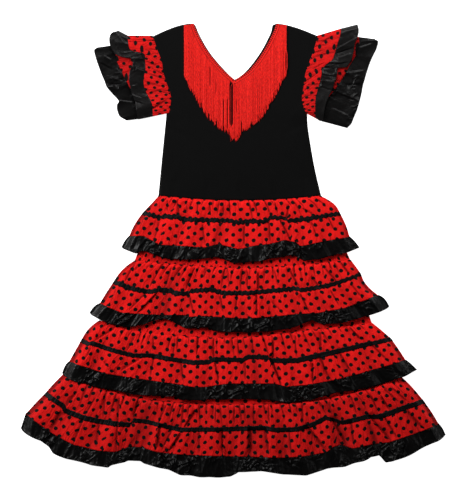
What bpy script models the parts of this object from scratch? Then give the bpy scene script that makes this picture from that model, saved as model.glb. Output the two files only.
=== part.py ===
"""A girl's flamenco dress, laid flat on its back.

The origin is on the surface under the middle of the dress. +Y runs up to the shoulders, +X to the viewer's
right and +Z up from the surface. Left and right are the viewer's. The tables give millimetres, and every point
that leaves them is in metres.
"""

import math

import bmesh
import bpy
from mathutils import Vector

MM = 0.001

# Walls and the clearances between neighbouring pieces.
CLOTH_WALL = 1.2 * MM
BACK_WALL = 1.0 * MM
RIBBON_WALL = 0.6 * MM
SEAM_GAP = 0.3 * MM
RUFFLE_SEAM_GAP = 0.6 * MM

# How high each layer's underside lies, from the surface up.
FLOOR = 0.0
BACK_FLOUNCE_Z = RIBBON_WALL + SEAM_GAP
BACK_SKIRT_Z = BACK_FLOUNCE_Z + BACK_WALL + SEAM_GAP
FRONT_SKIRT_Z = BACK_SKIRT_Z + BACK_WALL + SEAM_GAP
FRONT_FLOUNCE_Z = FRONT_SKIRT_Z + BACK_WALL + SEAM_GAP

# The ribbon, and how far a ribbon's underside is lifted off the underside of the flounce that it is sewn to.
RIBBON_WIDTH = 6.0
RIBBON_LIFT = 1.25 * CLOTH_WALL + SEAM_GAP

# The skirt's level lines, in millimetres: the two ends across, and the heights at five even stations between.
SKIRT_LINES = {
    # tier, line: (left, right, (left end, quarter, middle, three-quarter, right end))
    (1, "seam"): (-127, 150, (91, 85, 83, 85, 91)),
    (1, "ribbon"): (-148, 180, (63, 52, 48, 50, 62)),
    (1, "hem"): (-176, 198, (23, 7, 1, 10, 22)),
    (1, "edge"): (-188, 214, (3, -16, -22, -17, 4)),
    (2, "seam"): (-167, 200, (-18, -26, -31, -26, -17)),
    (2, "ribbon"): (-201, 219, (-54, -73, -75, -69, -53)),
    (2, "hem"): (-225, 248, (-91, -111, -117, -109, -79)),
    (2, "edge"): (-243, 265, (-107, -133, -140, -127, -97)),
    (3, "seam"): (-238, 236, (-128, -144, -149, -138, -124)),
    (3, "ribbon"): (-258, 269, (-155, -183, -188, -183, -152)),
    (3, "hem"): (-275, 294, (-190, -226, -230, -224, -189)),
    (3, "edge"): (-290, 312, (-210, -250, -254, -249, -204)),
    (4, "seam"): (-292, 291, (-215, -254, -262, -255, -221)),
    (4, "ribbon"): (-317, 324, (-246, -298, -304, -294, -258)),
    (4, "hem"): (-351, 348, (-278, -345, -352, -343, -295)),
    (4, "edge"): (-360, 360, (-303, -370, -382, -370, -316)),
}
UNDERSKIRT_HEM = (-296, 296, (-236, -276, -285, -276, -240))

# How far the underskirt's left and right sides lie inside each seam's ends and inside its own hem line.
UNDERSKIRT_INSETS = ((2, 2), (2, 2), (4, 4), (22, 6), (14, 6))
TIERS = (1, 2, 3, 4)

# The deep folds that lift or drop a flounce's lower edge, in millimetres.
DEEP_FOLDS = (
    # tier, across, half width, lift of the hem, how far it sinks (1 is down to the underskirt)
    (1, -162, 17, 4, 0.3),
    (1, -27, 14, 8, 0.9),
    (1, 90, 20, 8, 0.5),
    (1, 119, 10, -4, 0.0),
    (2, -177, 24, -7, 0.0),
    (2, -119, 22, 14, 1.0),
    (2, -73, 14, -3, 0.0),
    (3, -65, 24, -4, 0.0),
    (3, 42, 20, 6, 0.8),
    (3, 85, 14, -5, 0.0),
    (4, -212, 17, -4, 0.0),
    (4, -168, 24, 12, 1.0),
    (4, -22, 31, -4, 0.0),
    (4, 29, 22, 5, 0.9),
    (4, 114, 27, -5, 0.0),
    (4, 184, 22, 10, 1.0),
    (4, 243, 12, 9, 0.7),
    (4, 265, 12, -8, 0.0),
)

# The gathered folds of each tier. A ruffle has two folds for each fold of its flounce.
GATHERS = {
    # tier: (folds in the flounce, their height, the height of the ruffle's own folds, both in millimetres)
    1: (9, 6.0, 4.5),
    2: (11, 7.0, 4.5),
    3: (12, 8.0, 5.0),
    4: (14, 9.0, 5.5),
}
SIDE_TURN = 14 * MM
BACK_INSET = 2.0

# The bodice, in millimetres as (across, up): its middle from the waist to the neck's point, its neck edges on up to
# the shoulders, and its side seams from the waist to the underarms.
MIDDLE_SEAM = ((8, 83.3), (7, 144), (5, 204), (3, 255), (3, 289))
NECK_EDGES = {
    "left": ((-17, 306), (-41, 334), (-58, 363), (-67, 385)),
    "right": ((26, 306), (49, 337), (65, 368), (71, 385)),
}
SIDE_SEAMS = {
    "left": ((-127, 91.3), (-122, 144), (-116, 204), (-113, 233)),
    "right": ((150, 91.3), (138, 144), (128, 204), (126, 232)),
}
NECK_POINT_SHARE = 0.5
UNDERARM_SHARE = 0.375
WAIST_SHARE = 0.2
BODICE_STEPS = 16
BODICE_RISE = 4.5 * MM
ARMHOLE_Z = 3.9 * MM
ARMHOLE_BOTTOM = 232 * MM
BACK_NECK_SHOWS = 1.5

# The fringe's lower outline, in millimetres, as (across, up), and its braid.
FRINGE_ENDS = (
    (-84, 297), (-73, 275), (-56, 246), (-39, 222), (-22, 207), (2, 189),
    (22, 205), (42, 221), (63, 249), (80, 282), (92, 302),
)
FRINGE_STRANDS = 110
STRAND_SHARE = 0.62
BRAID_TOP_LEFT = (-84, 380.5)
BRAID_TOP_RIGHT = (92, 381)
BRAID_WIDTH = 8.5
BRAID_POINT_Z = BODICE_RISE + 1.3 * MM

# The sleeves, a row for each direction out from the armhole, shoulder first, in millimetres. The points, as
# (across, up), are: armhole, upper tier's hem, its ruffle's edge, lower tier's hem, its ruffle's edge.
SLEEVES = {}
SLEEVES["left"] = (
    ((-139, 362), (-178, 365), (-201, 370), (-212, 346), (-235, 341)),
    ((-134, 345), (-173, 342), (-209, 355), (-204, 334), (-232, 329)),
    ((-127, 326), (-150, 333), (-204, 336), (-197, 323), (-228, 314)),
    ((-122, 309), (-149, 314), (-173, 321), (-190, 309), (-223, 300)),
    ((-116, 289), (-151, 289), (-176, 289), (-183, 292), (-216, 282)),
    ((-109, 265), (-146, 265), (-174, 260), (-177, 275), (-206, 267)),
    ((-109, 248), (-138, 244), (-176, 239), (-170, 251), (-197, 248)),
    ((-113, 233), (-135, 227), (-172, 222), (-158, 225), (-185, 223)),
)
SLEEVES["right"] = (
    ((146, 363), (183, 375), (210, 383), (215, 360), (245, 356)),
    ((141, 343), (176, 351), (208, 360), (213, 348), (245, 344)),
    ((135, 323), (170, 331), (204, 338), (209, 331), (236, 328)),
    ((127, 299), (152, 307), (194, 315), (199, 311), (229, 309)),
    ((123, 282), (149, 289), (178, 297), (187, 291), (224, 289)),
    ((120, 263), (141, 266), (167, 268), (173, 273), (218, 268)),
    ((122, 244), (139, 244), (158, 248), (163, 255), (211, 238)),
    ((126, 232), (139, 225), (156, 218), (160, 223), (196, 209)),
)
SLEEVE_FOLDS = 4
ARMHOLE_GAP = 0.7
LOWER_SLEEVE_BACK_Z = BACK_WALL + SEAM_GAP
LOWER_SLEEVE_Z = LOWER_SLEEVE_BACK_Z + BACK_WALL + SEAM_GAP
UPPER_SLEEVE_Z = 3.9 * MM

# Colours: red, green and blue, then roughness.
RED_COTTON = ((0.70, 0.010, 0.010), 0.75)
RED_RAYON = ((0.80, 0.025, 0.015), 0.45)
BLACK_JERSEY = ((0.010, 0.010, 0.011), 0.85)
BLACK_SATIN = ((0.020, 0.018, 0.018), 0.30)
BLACK_RIBBON = ((0.012, 0.012, 0.012), 0.50)


def empty_scene():
    for thing in list(bpy.data.objects):
        bpy.data.objects.remove(thing, do_unlink=True)


def smooth(t):
    t = max(0.0, min(1.0, t))
    return t * t * (3 - 2 * t)


def mix(a, b, t):
    return a + (b - a) * t


def mix_points(a, b, t):
    return (mix(a[0], b[0], t), mix(a[1], b[1], t))


def uneven(number, kind):
    """A steady value from 0 to 1 for each fold, so that no two folds are alike."""
    wave = math.sin(number * 12.9898 + kind * 78.233) * 43758.5453
    return wave - math.floor(wave)


def along(stations, t):
    """A smooth curve through evenly spaced heights."""
    spans = len(stations) - 1
    i = min(int(t * spans), spans - 1)
    f = t * spans - i
    a, b = stations[i], stations[i + 1]
    before = stations[i - 1] if i > 0 else 2 * a - b
    after = stations[i + 2] if i + 2 <= spans else 2 * b - a
    rise_a = (b - before) / 2
    rise_b = (after - a) / 2
    return (a * (2 * f**3 - 3 * f**2 + 1) + rise_a * (f**3 - 2 * f**2 + f)
            + b * (3 * f**2 - 2 * f**3) + rise_b * (f**3 - f**2))


def fabric(name, look):
    (red, green, blue), roughness = look
    material = bpy.data.materials.new(name)
    material.use_nodes = True
    shader = material.node_tree.nodes["Principled BSDF"]
    shader.inputs["Base Color"].default_value = (red, green, blue, 1)
    shader.inputs["Roughness"].default_value = roughness
    shader.inputs["Metallic"].default_value = 0
    return material


def grid(bm, columns, rows, place):
    """Add an open surface to bm, its points from place(u, v), with u to the right and v down."""
    made = bmesh.ops.create_grid(bm, x_segments=len(columns) - 1, y_segments=len(rows) - 1, size=0.5)
    for vert in made["verts"]:
        i = round((vert.co.x + 0.5) * (len(columns) - 1))
        j = round((0.5 - vert.co.y) * (len(rows) - 1))
        vert.co = Vector(place(columns[i], rows[j]))
    return made["verts"]


def object_from(bm, name, look):
    mesh = bpy.data.meshes.new(name)
    bm.to_mesh(mesh)
    bm.free()
    mesh.materials.append(fabric(name, look))
    thing = bpy.data.objects.new(name, mesh)
    dress.objects.link(thing)
    return thing


def cloth(name, look, wall, pieces):
    """A wall of cloth on one or more grids that meet edge to edge, thickened upwards."""
    bm = bmesh.new()
    for columns, rows, place in pieces:
        grid(bm, columns, rows, place)
    if len(pieces) > 1:
        bmesh.ops.remove_doubles(bm, verts=bm.verts[:], dist=0.01 * MM)
    thing = object_from(bm, name, look)
    solidify = thing.modifiers.new("Wall", "SOLIDIFY")
    solidify.thickness = wall
    solidify.offset = 1.0
    thing.data.shade_smooth()
    return thing


def even_steps(count):
    return [i / count for i in range(count + 1)]


def fold_columns(folds, kind):
    """Uneven folds from 0 to 1, four columns to a fold: a list of (place, height from 0 to 1)."""
    widths = [0.65 + 0.7 * uneven(i, kind) for i in range(folds)]
    whole = sum(widths)
    columns = []
    start = 0.0
    for i, width in enumerate(widths):
        crest = 0.45 + 0.55 * uneven(i, kind + 3)
        lean = 0.08 * (uneven(i, kind + 7) - 0.5)
        columns.append((start / whole, 0.0))
        columns.append(((start + (0.26 + lean) * width) / whole, 0.5 * crest))
        columns.append(((start + (0.5 + lean) * width) / whole, crest))
        columns.append(((start + (0.74 + lean) * width) / whole, 0.5 * crest))
        start += width
    columns.append((1.0, 0.0))
    return columns


def ruffle_folds(flounce_columns, kind):
    """The ruffle's columns: its flounce's own, and one between each two, so two folds to a flounce fold."""
    places = []
    for (a, _), (b, _) in zip(flounce_columns, flounce_columns[1:]):
        places += [a, mix(a, b, 0.44 + 0.12 * uneven(len(places), kind))]
    places.append(1.0)
    columns = []
    for i, place in enumerate(places):
        crest = 0.5 + 0.5 * uneven(i // 4, kind + 3)
        columns.append((place, (0.0, 0.5, 1.0, 0.5)[i % 4] * crest))
    return columns


def read_columns(columns, u):
    """The height of a row of folds at u, straight between its columns."""
    for (a, height_a), (b, height_b) in zip(columns, columns[1:]):
        if u <= b:
            return mix(height_a, height_b, (u - a) / (b - a))
    return columns[-1][1]


# ---------------------------------------------------------------- skirt

def line_point(line, u):
    left, right, heights = line
    return (mix(left, right, u), along(heights, u))


def deep_fold(tier, u, column):
    """The sum of the tier's deep folds at u: column 3 is their lift in millimetres, 4 how far they sink."""
    left, right, _ = SKIRT_LINES[(tier, "hem")]
    across = mix(left, right, u)
    total = 0.0
    for fold in DEEP_FOLDS:
        reach = abs(across - fold[1]) / fold[2]
        if fold[0] == tier and reach < 1:
            total += fold[column] * (1 - smooth(reach))
    return total


def flounce_plan(tier, u, v):
    """Where a flounce's point lies across and up, in millimetres, with v from its seam (0) to its hem (1)."""
    seam = line_point(SKIRT_LINES[(tier, "seam")], u)
    ribbon = line_point(SKIRT_LINES[(tier, "ribbon")], u)
    hem = line_point(SKIRT_LINES[(tier, "hem")], u)
    lift = deep_fold(tier, u, 3)
    ribbon = (ribbon[0], ribbon[1] + 0.5 * lift)
    hem = (hem[0], hem[1] + lift)
    if v < 0.5:
        return mix_points(seam, ribbon, v / 0.5)
    return mix_points(ribbon, hem, (v - 0.5) / 0.5)


def side_distance(left, right, u):
    """How far a point lies inside the nearer side edge, in metres."""
    return min(u, 1 - u) * (right - left) * MM


def flounce_height(tier, columns, u, v):
    """The underside of a front flounce: gathered low at its seam, and full at its hem."""
    left, right, _ = SKIRT_LINES[(tier, "hem")]
    fold_height = GATHERS[tier][1] * MM
    inside = smooth(side_distance(left, right, u) / SIDE_TURN)
    fold = read_columns(columns, u) * (1 - deep_fold(tier, u, 4))
    full = 0.06 + 0.94 * smooth(0.15 + 0.85 * v) if v > 0 else 0.06
    turn = (FRONT_FLOUNCE_Z - BACK_SKIRT_Z) * smooth((v - 0.3) / 0.5) * (1 - inside)
    return FRONT_FLOUNCE_Z - turn + (0.25 + fold) * fold_height * full * inside


def ribbon_rows(tier):
    seam = line_point(SKIRT_LINES[(tier, "seam")], 0.5)
    hem = line_point(SKIRT_LINES[(tier, "hem")], 0.5)
    half = 0.5 * RIBBON_WIDTH / (seam[1] - hem[1])
    return [0.5 - half, 0.5 + half]


def flounce_point(tier, columns, u, v, lift=0.0):
    x, y = flounce_plan(tier, u, v)
    return (x * MM, y * MM, flounce_height(tier, columns, u, v) + lift)


def hem_point(tier, columns, u):
    """A point on the flounce's lower edge, straight between its columns."""
    for (a, _), (b, _) in zip(columns, columns[1:]):
        if u <= b:
            start = Vector(flounce_point(tier, columns, a, 1.0))
            end = Vector(flounce_point(tier, columns, b, 1.0))
            return start.lerp(end, (u - a) / (b - a))
    return Vector(flounce_point(tier, columns, 1.0, 1.0))


def ruffle_point(tier, flounce_columns, ruffle_columns, u, v):
    """A front ruffle's point: it starts at the flounce's hem and stands fuller towards its own edge."""
    top = hem_point(tier, flounce_columns, u)
    top.y -= RUFFLE_SEAM_GAP
    left, right, _ = SKIRT_LINES[(tier, "edge")]
    x, y = line_point(SKIRT_LINES[(tier, "edge")], u)
    y += 0.8 * deep_fold(tier, u, 3)
    inside = smooth(side_distance(left, right, u) / SIDE_TURN)
    fold_height = GATHERS[tier][2] * MM * inside
    fold = read_columns(ruffle_columns, u) * fold_height
    scallop = (fold - 0.5 * fold_height) * 0.5
    resting = mix(FLOOR + BACK_WALL + SEAM_GAP, FRONT_FLOUNCE_Z, inside)
    edge = Vector((x * MM, y * MM - scallop, max(resting, mix(top.z, resting, 0.35)) + fold))
    point = top.lerp(edge, v)
    point.z = mix(top.z, edge.z, math.sin(0.5 * math.pi * v))
    return tuple(point)


def build_front_tier(tier):
    flounce_columns = fold_columns(GATHERS[tier][0], tier)
    ruffle_columns = ruffle_folds(flounce_columns, tier + 10)
    across = [u for u, _ in flounce_columns]
    ribbon = ribbon_rows(tier)
    cloth(f"flounce_{tier}_front", RED_COTTON, CLOTH_WALL,
          [(across, [0.0] + ribbon + [1.0], lambda u, v: flounce_point(tier, flounce_columns, u, v))])
    cloth(f"ribbon_{tier}_front", BLACK_RIBBON, RIBBON_WALL,
          [(across, ribbon, lambda u, v: flounce_point(tier, flounce_columns, u, v, RIBBON_LIFT))])
    cloth(f"ruffle_{tier}_front", BLACK_SATIN, CLOTH_WALL,
          [([u for u, _ in ruffle_columns], [0.0, 0.5, 1.0],
            lambda u, v: ruffle_point(tier, flounce_columns, ruffle_columns, u, v))])


def back_point(tier, line_a, line_b, height, u, v):
    """A point of a flat back piece between two level lines, a little inside the front's sides."""
    a = line_point(SKIRT_LINES[(tier, line_a)], u)
    b = line_point(SKIRT_LINES[(tier, line_b)], u)
    x, y = mix_points(a, b, v)
    inset = BACK_INSET * (1 - 2 * u)
    return ((x + inset) * MM, y * MM, height)


def back_flounce_point(tier, u, v):
    if v < 0.5:
        return back_point(tier, "seam", "ribbon", BACK_FLOUNCE_Z, u, v / 0.5)
    return back_point(tier, "ribbon", "hem", BACK_FLOUNCE_Z, u, (v - 0.5) / 0.5)


def back_ruffle_point(tier, u, v):
    x, y, z = back_point(tier, "hem", "edge", FLOOR, u, v)
    return (x, y - RUFFLE_SEAM_GAP * (1 - v) + BACK_INSET * MM * v, z)


def build_back_tier(tier):
    across = even_steps(12)
    ribbon = ribbon_rows(tier)
    cloth(f"flounce_{tier}_back", RED_COTTON, BACK_WALL,
          [(across, [0.0, 0.5, 1.0], lambda u, v: back_flounce_point(tier, u, v))])
    cloth(f"ribbon_{tier}_back", BLACK_RIBBON, RIBBON_WALL,
          [(across, ribbon, lambda u, v: back_flounce_point(tier, u, v)[:2] + (FLOOR,))])
    cloth(f"ruffle_{tier}_back", BLACK_SATIN, BACK_WALL,
          [(across, [0.0, 1.0], lambda u, v: back_ruffle_point(tier, u, v))])


def build_underskirt():
    lines = [SKIRT_LINES[(tier, "seam")] for tier in TIERS] + [UNDERSKIRT_HEM]
    rows = even_steps(len(lines) - 1)

    def place(u, v, height):
        row = round(v * (len(lines) - 1))
        x, y = line_point(lines[row], u)
        left_inset, right_inset = UNDERSKIRT_INSETS[row]
        return ((x + mix(left_inset, -right_inset, u)) * MM, y * MM, height)

    for name, height in (("skirt_front", FRONT_SKIRT_Z), ("skirt_back", BACK_SKIRT_Z)):
        cloth(name, RED_COTTON, BACK_WALL,
              [(even_steps(16), rows, lambda u, v, height=height: place(u, v, height))])


# ---------------------------------------------------------------- bodice

def curve(points, t):
    """A smooth curve through evenly spaced points, t from 0 to 1."""
    return tuple(along([point[axis] for point in points], t) for axis in (0, 1))


def inner_edge(side, t):
    """The bodice's middle, then its neck edge, t from the waist (0) to the shoulder (1)."""
    if t <= NECK_POINT_SHARE:
        return curve(MIDDLE_SEAM, t / NECK_POINT_SHARE)
    return curve(MIDDLE_SEAM[-1:] + NECK_EDGES[side], (t - NECK_POINT_SHARE) / (1 - NECK_POINT_SHARE))


def outer_edge(side, t):
    """The bodice's side seam, then its armhole, t from the waist (0) to the shoulder (1)."""
    if t < UNDERARM_SHARE:
        return curve(SIDE_SEAMS[side], t / UNDERARM_SHARE)
    return armhole(side, (1 - t) / (1 - UNDERARM_SHARE))


def armhole(side, v):
    """The armhole, v from the shoulder (0) down to the underarm (1)."""
    return curve([row[0] for row in SLEEVES[side]], v)


def bodice_sides(y):
    """Where the bodice's left and right edges lie at a height, in metres."""
    ends = []
    for side in ("left", "right"):
        edge = [outer_edge(side, t) for t in even_steps(24)]
        ends.append(read_path([(up, across) for across, up in edge], y / MM) * MM)
    return ends


def bodice_height(x, y):
    """The underside of the bodice's front: low at its sides, raised over the middle, level at the waist."""
    left, right = bodice_sides(y)
    middle = 1 - min(1.0, abs((2 * x - left - right) / (right - left))) ** 3
    armhole = smooth((y - ARMHOLE_BOTTOM + 20 * MM) / (25 * MM))
    edge = mix(BACK_WALL + SEAM_GAP, ARMHOLE_Z, armhole)
    body = mix(edge, BACK_WALL + SEAM_GAP + BODICE_RISE, middle)
    waist = smooth((y - 85 * MM) / (45 * MM))
    return mix(FRONT_FLOUNCE_Z, body, waist)


def waist_dip(side, share):
    """How far the waist seam lies above a straight line, at a share of the way from the middle to the side."""
    left, right, heights = SKIRT_LINES[(1, "seam")]
    x, straight = mix_points(MIDDLE_SEAM[0], SIDE_SEAMS[side][0], share)
    return along(heights, (x - left) / (right - left)) + SEAM_GAP / MM - straight


def bodice_half(side, across, height, neck_shows=0.0):
    """One half of the bodice from waist to shoulder, as a grid to weld to the other half along the middle."""
    sign = -1 if side == "left" else 1

    def place(u, v):
        t = 1 - v
        inner = inner_edge(side, t)
        above = smooth((t - NECK_POINT_SHARE) / 0.15)
        inner = (inner[0] - sign * neck_shows * above, inner[1])
        share = u if side == "right" else 1 - u
        x, y = mix_points(inner, outer_edge(side, t), share)
        y += waist_dip(side, share) * smooth(1 - t / WAIST_SHARE)
        return (x * MM, y * MM, height(x * MM, y * MM))
    return (even_steps(across), even_steps(BODICE_STEPS), place)


def build_bodice():
    cloth("bodice_front", BLACK_JERSEY, CLOTH_WALL,
          [bodice_half(side, 5, bodice_height) for side in ("left", "right")])
    cloth("bodice_back", BLACK_JERSEY, BACK_WALL,
          [bodice_half(side, 2, lambda x, y: FLOOR, BACK_NECK_SHOWS) for side in ("left", "right")])


def neck_edges():
    """The braid's inner and outer edges, as lists of (across, up) from shoulder to shoulder."""
    heights = [mix(1.0, NECK_POINT_SHARE, step) for step in even_steps(16)]
    left = [inner_edge("left", t) for t in heights]
    right = [inner_edge("right", t) for t in reversed(heights)]
    inner = left + right[1:]
    outer = [BRAID_TOP_LEFT]
    for before, here, after in zip(inner, inner[1:], inner[2:]):
        ahead = Vector(after) - Vector(before)
        outward = Vector((ahead.y, -ahead.x)).normalized() * BRAID_WIDTH
        outer.append((here[0] + outward.x, here[1] + outward.y))
    return inner, outer + [BRAID_TOP_RIGHT]


def read_path(path, x):
    """The height of a path of (across, up) points at x."""
    for (xa, ya), (xb, yb) in zip(path, path[1:]):
        if x <= xb:
            return mix(ya, yb, (x - xa) / (xb - xa))
    return path[-1][1]


def share_along(path, x):
    for i, ((xa, _), (xb, _)) in enumerate(zip(path, path[1:])):
        if x <= xb:
            return i + (x - xa) / (xb - xa)
    return len(path) - 1


def point_at(path, share):
    i = min(int(share), len(path) - 2)
    return mix_points(path[i], path[i + 1], share - i)


def build_fringe():
    """The braid as a narrow strip along the neck, each strand drawn out of the strip's lower rim."""
    inner, outer = neck_edges()
    left, right = outer[0][0], outer[-1][0]
    pitch = (right - left) / FRINGE_STRANDS
    places = []
    for k in range(FRINGE_STRANDS):
        places += [left + k * pitch, left + (k + STRAND_SHARE) * pitch]
    places.append(right)
    lift = 1.2 * CLOTH_WALL + SEAM_GAP

    def place(u, v):
        x = places[round(u * (len(places) - 1))]
        point = (x, read_path(outer, x)) if v > 0.5 else point_at(inner, share_along(outer, x))
        height = bodice_height(point[0] * MM, min(point[1], 380) * MM)
        return (point[0] * MM, point[1] * MM, max(height, BRAID_POINT_Z) + lift)

    bm = bmesh.new()
    grid(bm, even_steps(len(places) - 1), [0.0, 1.0], place)
    strip = bmesh.ops.extrude_face_region(bm, geom=bm.faces[:])
    for thing in strip["geom"]:
        if isinstance(thing, bmesh.types.BMVert):
            thing.co.z += RIBBON_WALL
    bmesh.ops.recalc_face_normals(bm, faces=bm.faces[:])
    draw_strands(bm, places, outer)
    object_from(bm, "neck_fringe", RED_RAYON)


def draw_strands(bm, places, outer):
    """Draw every other face of the strip's lower rim straight down to the fringe's lower outline."""
    roots = {}
    for face in bm.faces:
        xs = sorted({round(v.co.x / MM, 3) for v in face.verts})
        upright = abs(face.normal.z) < 0.5
        if len(xs) != 2 or not upright:
            continue
        middle = 0.5 * (xs[0] + xs[1])
        on_rim = all(abs(v.co.y / MM - read_path(outer, v.co.x / MM)) < 0.01 for v in face.verts)
        if on_rim:
            roots[middle] = face
    for k in range(FRINGE_STRANDS):
        middle = 0.5 * (places[2 * k] + places[2 * k + 1])
        face = roots[min(roots, key=lambda x: abs(x - middle))]
        drawn = bmesh.ops.extrude_discrete_faces(bm, faces=[face])
        ragged = 5 * (uneven(k, 5) - 0.5)
        for vert in drawn["faces"][0].verts:
            vert.co.y = (read_path(FRINGE_ENDS, middle) + ragged) * MM


# ---------------------------------------------------------------- sleeves

def sleeve_piece(rows, inner, outer, inner_gap, outer_gap):
    """The plan of one sleeve piece: u runs outward from its seam, v down from the shoulder to the underarm."""
    def plan(u, v):
        a = curve([row[inner] for row in rows], v)
        b = curve([row[outer] for row in rows], v)
        reach = math.dist(a, b)
        share = mix(inner_gap / reach, 1 - outer_gap / reach, u)
        return mix_points(a, b, share)
    return plan


# The two tiers of a sleeve: hem and edge columns of the table, the underside at the armhole, the rise to the hem,
# the height of the cloth's folds and of the ruffle's own, the front wall, and the back's underside.
SLEEVE_TIERS = {
    "upper": (1, 2, UPPER_SLEEVE_Z, 3.0 * MM, 2.8 * MM, 3.0 * MM, CLOTH_WALL, FLOOR),
    "lower": (3, 4, LOWER_SLEEVE_Z, 0.0, 1.6 * MM, 4.0 * MM, BACK_WALL, LOWER_SLEEVE_BACK_Z),
}


def build_sleeve(side, tier):
    rows = SLEEVES[side]
    folds = fold_columns(SLEEVE_FOLDS, 20 if side == "left" else 30)
    hem, edge, base, rise, swell, frill, wall, low = SLEEVE_TIERS[tier]

    def piece(name, look, thickness, plan, rows_down, height):
        def place(u, v):
            out = 1 - u if side == "left" else u
            x, y = plan(out, v)
            return (x * MM, y * MM, height(out, v))
        cloth(name, look, thickness, [(even_steps(2), rows_down, place)])

    def red_height(u, v):
        return base + rise * u + swell * read_columns(folds, v) * u * u

    def black_height(u, v):
        return red_height(1.0, v) + frill * read_columns(folds, (v + 0.4) % 1.0) * u * u

    def flat(u, v):
        return low

    name = f"sleeve_{side}_{tier}"
    red = sleeve_piece(rows, 0, hem, ARMHOLE_GAP, SEAM_GAP / MM)
    black = sleeve_piece(rows, hem, edge, SEAM_GAP / MM, 0.0)
    down = [v for v, _ in folds]
    piece(f"{name}_front", RED_COTTON, wall, red, down, red_height)
    piece(f"{name}_ruffle_front", BLACK_SATIN, wall, black, down, black_height)
    piece(f"{name}_back", RED_COTTON, BACK_WALL, red, even_steps(7), flat)
    piece(f"{name}_ruffle_back", BLACK_SATIN, BACK_WALL, black, even_steps(7), flat)


empty_scene()
dress = bpy.data.collections.new("flamenco_dress")
bpy.context.scene.collection.children.link(dress)

build_underskirt()
for number in TIERS:
    build_front_tier(number)
    build_back_tier(number)
build_bodice()
build_fringe()
for sleeve_side in ("left", "right"):
    for sleeve_tier in ("upper", "lower"):
        build_sleeve(sleeve_side, sleeve_tier)
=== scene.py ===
# %% [markdown]
# # A girl's flamenco dress, laid flat
# The dress is a black stretch bodice with a fringed neck, two gathered tiers in each sleeve, and an A-line
# underskirt that carries four gathered flounces of dotted red cotton. Each flounce has a sewn-on ribbon and ends
# in a black satin ruffle. The packed solids give the sizes. This script lays real cloth over them: thin shells
# that go all the way round the dress, with the folds placed one by one.

# %% Load the frame and the tools
import math

import bmesh
import bpy
import numpy as np
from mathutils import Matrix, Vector


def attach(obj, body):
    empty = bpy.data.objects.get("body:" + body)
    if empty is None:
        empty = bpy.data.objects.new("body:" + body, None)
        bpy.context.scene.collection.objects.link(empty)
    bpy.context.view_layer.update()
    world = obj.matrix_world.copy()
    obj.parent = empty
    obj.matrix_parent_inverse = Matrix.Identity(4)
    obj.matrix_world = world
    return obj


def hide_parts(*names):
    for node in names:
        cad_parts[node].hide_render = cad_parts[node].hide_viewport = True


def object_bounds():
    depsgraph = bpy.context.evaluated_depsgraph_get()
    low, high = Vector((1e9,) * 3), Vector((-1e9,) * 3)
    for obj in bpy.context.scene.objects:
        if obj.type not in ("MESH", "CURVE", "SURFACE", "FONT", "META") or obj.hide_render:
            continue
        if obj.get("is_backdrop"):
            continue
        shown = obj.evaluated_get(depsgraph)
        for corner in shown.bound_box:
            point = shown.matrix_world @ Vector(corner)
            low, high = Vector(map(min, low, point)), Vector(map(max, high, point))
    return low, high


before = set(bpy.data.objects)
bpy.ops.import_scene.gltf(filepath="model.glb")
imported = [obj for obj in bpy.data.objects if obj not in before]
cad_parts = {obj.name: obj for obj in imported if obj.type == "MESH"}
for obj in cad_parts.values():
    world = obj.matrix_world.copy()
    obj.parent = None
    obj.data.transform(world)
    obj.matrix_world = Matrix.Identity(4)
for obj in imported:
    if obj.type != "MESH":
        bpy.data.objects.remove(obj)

cad_box = [list(corner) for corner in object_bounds()]
MM = 0.001
print("solids loaded:", len(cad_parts))

# %% [markdown]
# ## Sizes
# Laid flat, the dress is a stack of thin layers: the back's flounces, the two faces of the underskirt, and the
# front's flounces. Each layer lies at the height of its solid, always measured to its underside, and the level
# lines of the skirt are the solids' own, in millimetres. So the cloth lands where the solids are.

# %% The walls and the height of each layer
CLOTH_WALL = 1.2 * MM
BACK_WALL = 1.0 * MM
SEAM_GAP = 0.3 * MM
FRONT_SKIRT_Z = 3.5 * MM
FRONT_FLOUNCE_Z = 4.8 * MM
BACK_SKIRT_Z = 2.2 * MM
BACK_FLOUNCE_Z = 0.9 * MM
TIERS = (1, 2, 3, 4)
print("the front's flounces lie", round(FRONT_FLOUNCE_Z / MM, 1), "mm up, the back's", round(BACK_FLOUNCE_Z / MM, 1))

# %% The skirt's level lines
SKIRT_LINES = {
    # tier, line: (left, right, heights at the left end, quarter, middle, three-quarter and right end)
    (1, "seam"): (-127, 150, (91, 85, 83, 85, 91)),
    (1, "ribbon"): (-148, 180, (63, 52, 48, 50, 62)),
    (1, "hem"): (-176, 198, (23, 7, 1, 10, 22)),
    (1, "edge"): (-188, 214, (3, -16, -22, -17, 4)),
    (2, "seam"): (-167, 200, (-18, -26, -31, -26, -17)),
    (2, "ribbon"): (-201, 219, (-54, -73, -75, -69, -53)),
    (2, "hem"): (-225, 248, (-91, -111, -117, -109, -79)),
    (2, "edge"): (-243, 265, (-107, -133, -140, -127, -97)),
    (3, "seam"): (-238, 236, (-128, -144, -149, -138, -124)),
    (3, "ribbon"): (-258, 269, (-155, -183, -188, -183, -152)),
    (3, "hem"): (-275, 294, (-190, -226, -230, -224, -189)),
    (3, "edge"): (-290, 312, (-210, -250, -254, -249, -204)),
    (4, "seam"): (-292, 291, (-215, -254, -262, -255, -221)),
    (4, "ribbon"): (-317, 324, (-246, -298, -304, -294, -258)),
    (4, "hem"): (-351, 348, (-278, -345, -352, -343, -295)),
    (4, "edge"): (-360, 360, (-303, -370, -382, -370, -316)),
}
print("level lines:", len(SKIRT_LINES))

# %% [markdown]
# ## Small maths
# Cloth is worked out on whole rows of points at once with numpy, which is quick enough for hundreds of columns.
# `along` runs a smooth curve through evenly spaced stations, `uneven` gives every fold its own steady size, and
# `softened` rounds a zigzag the way cloth does.

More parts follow.
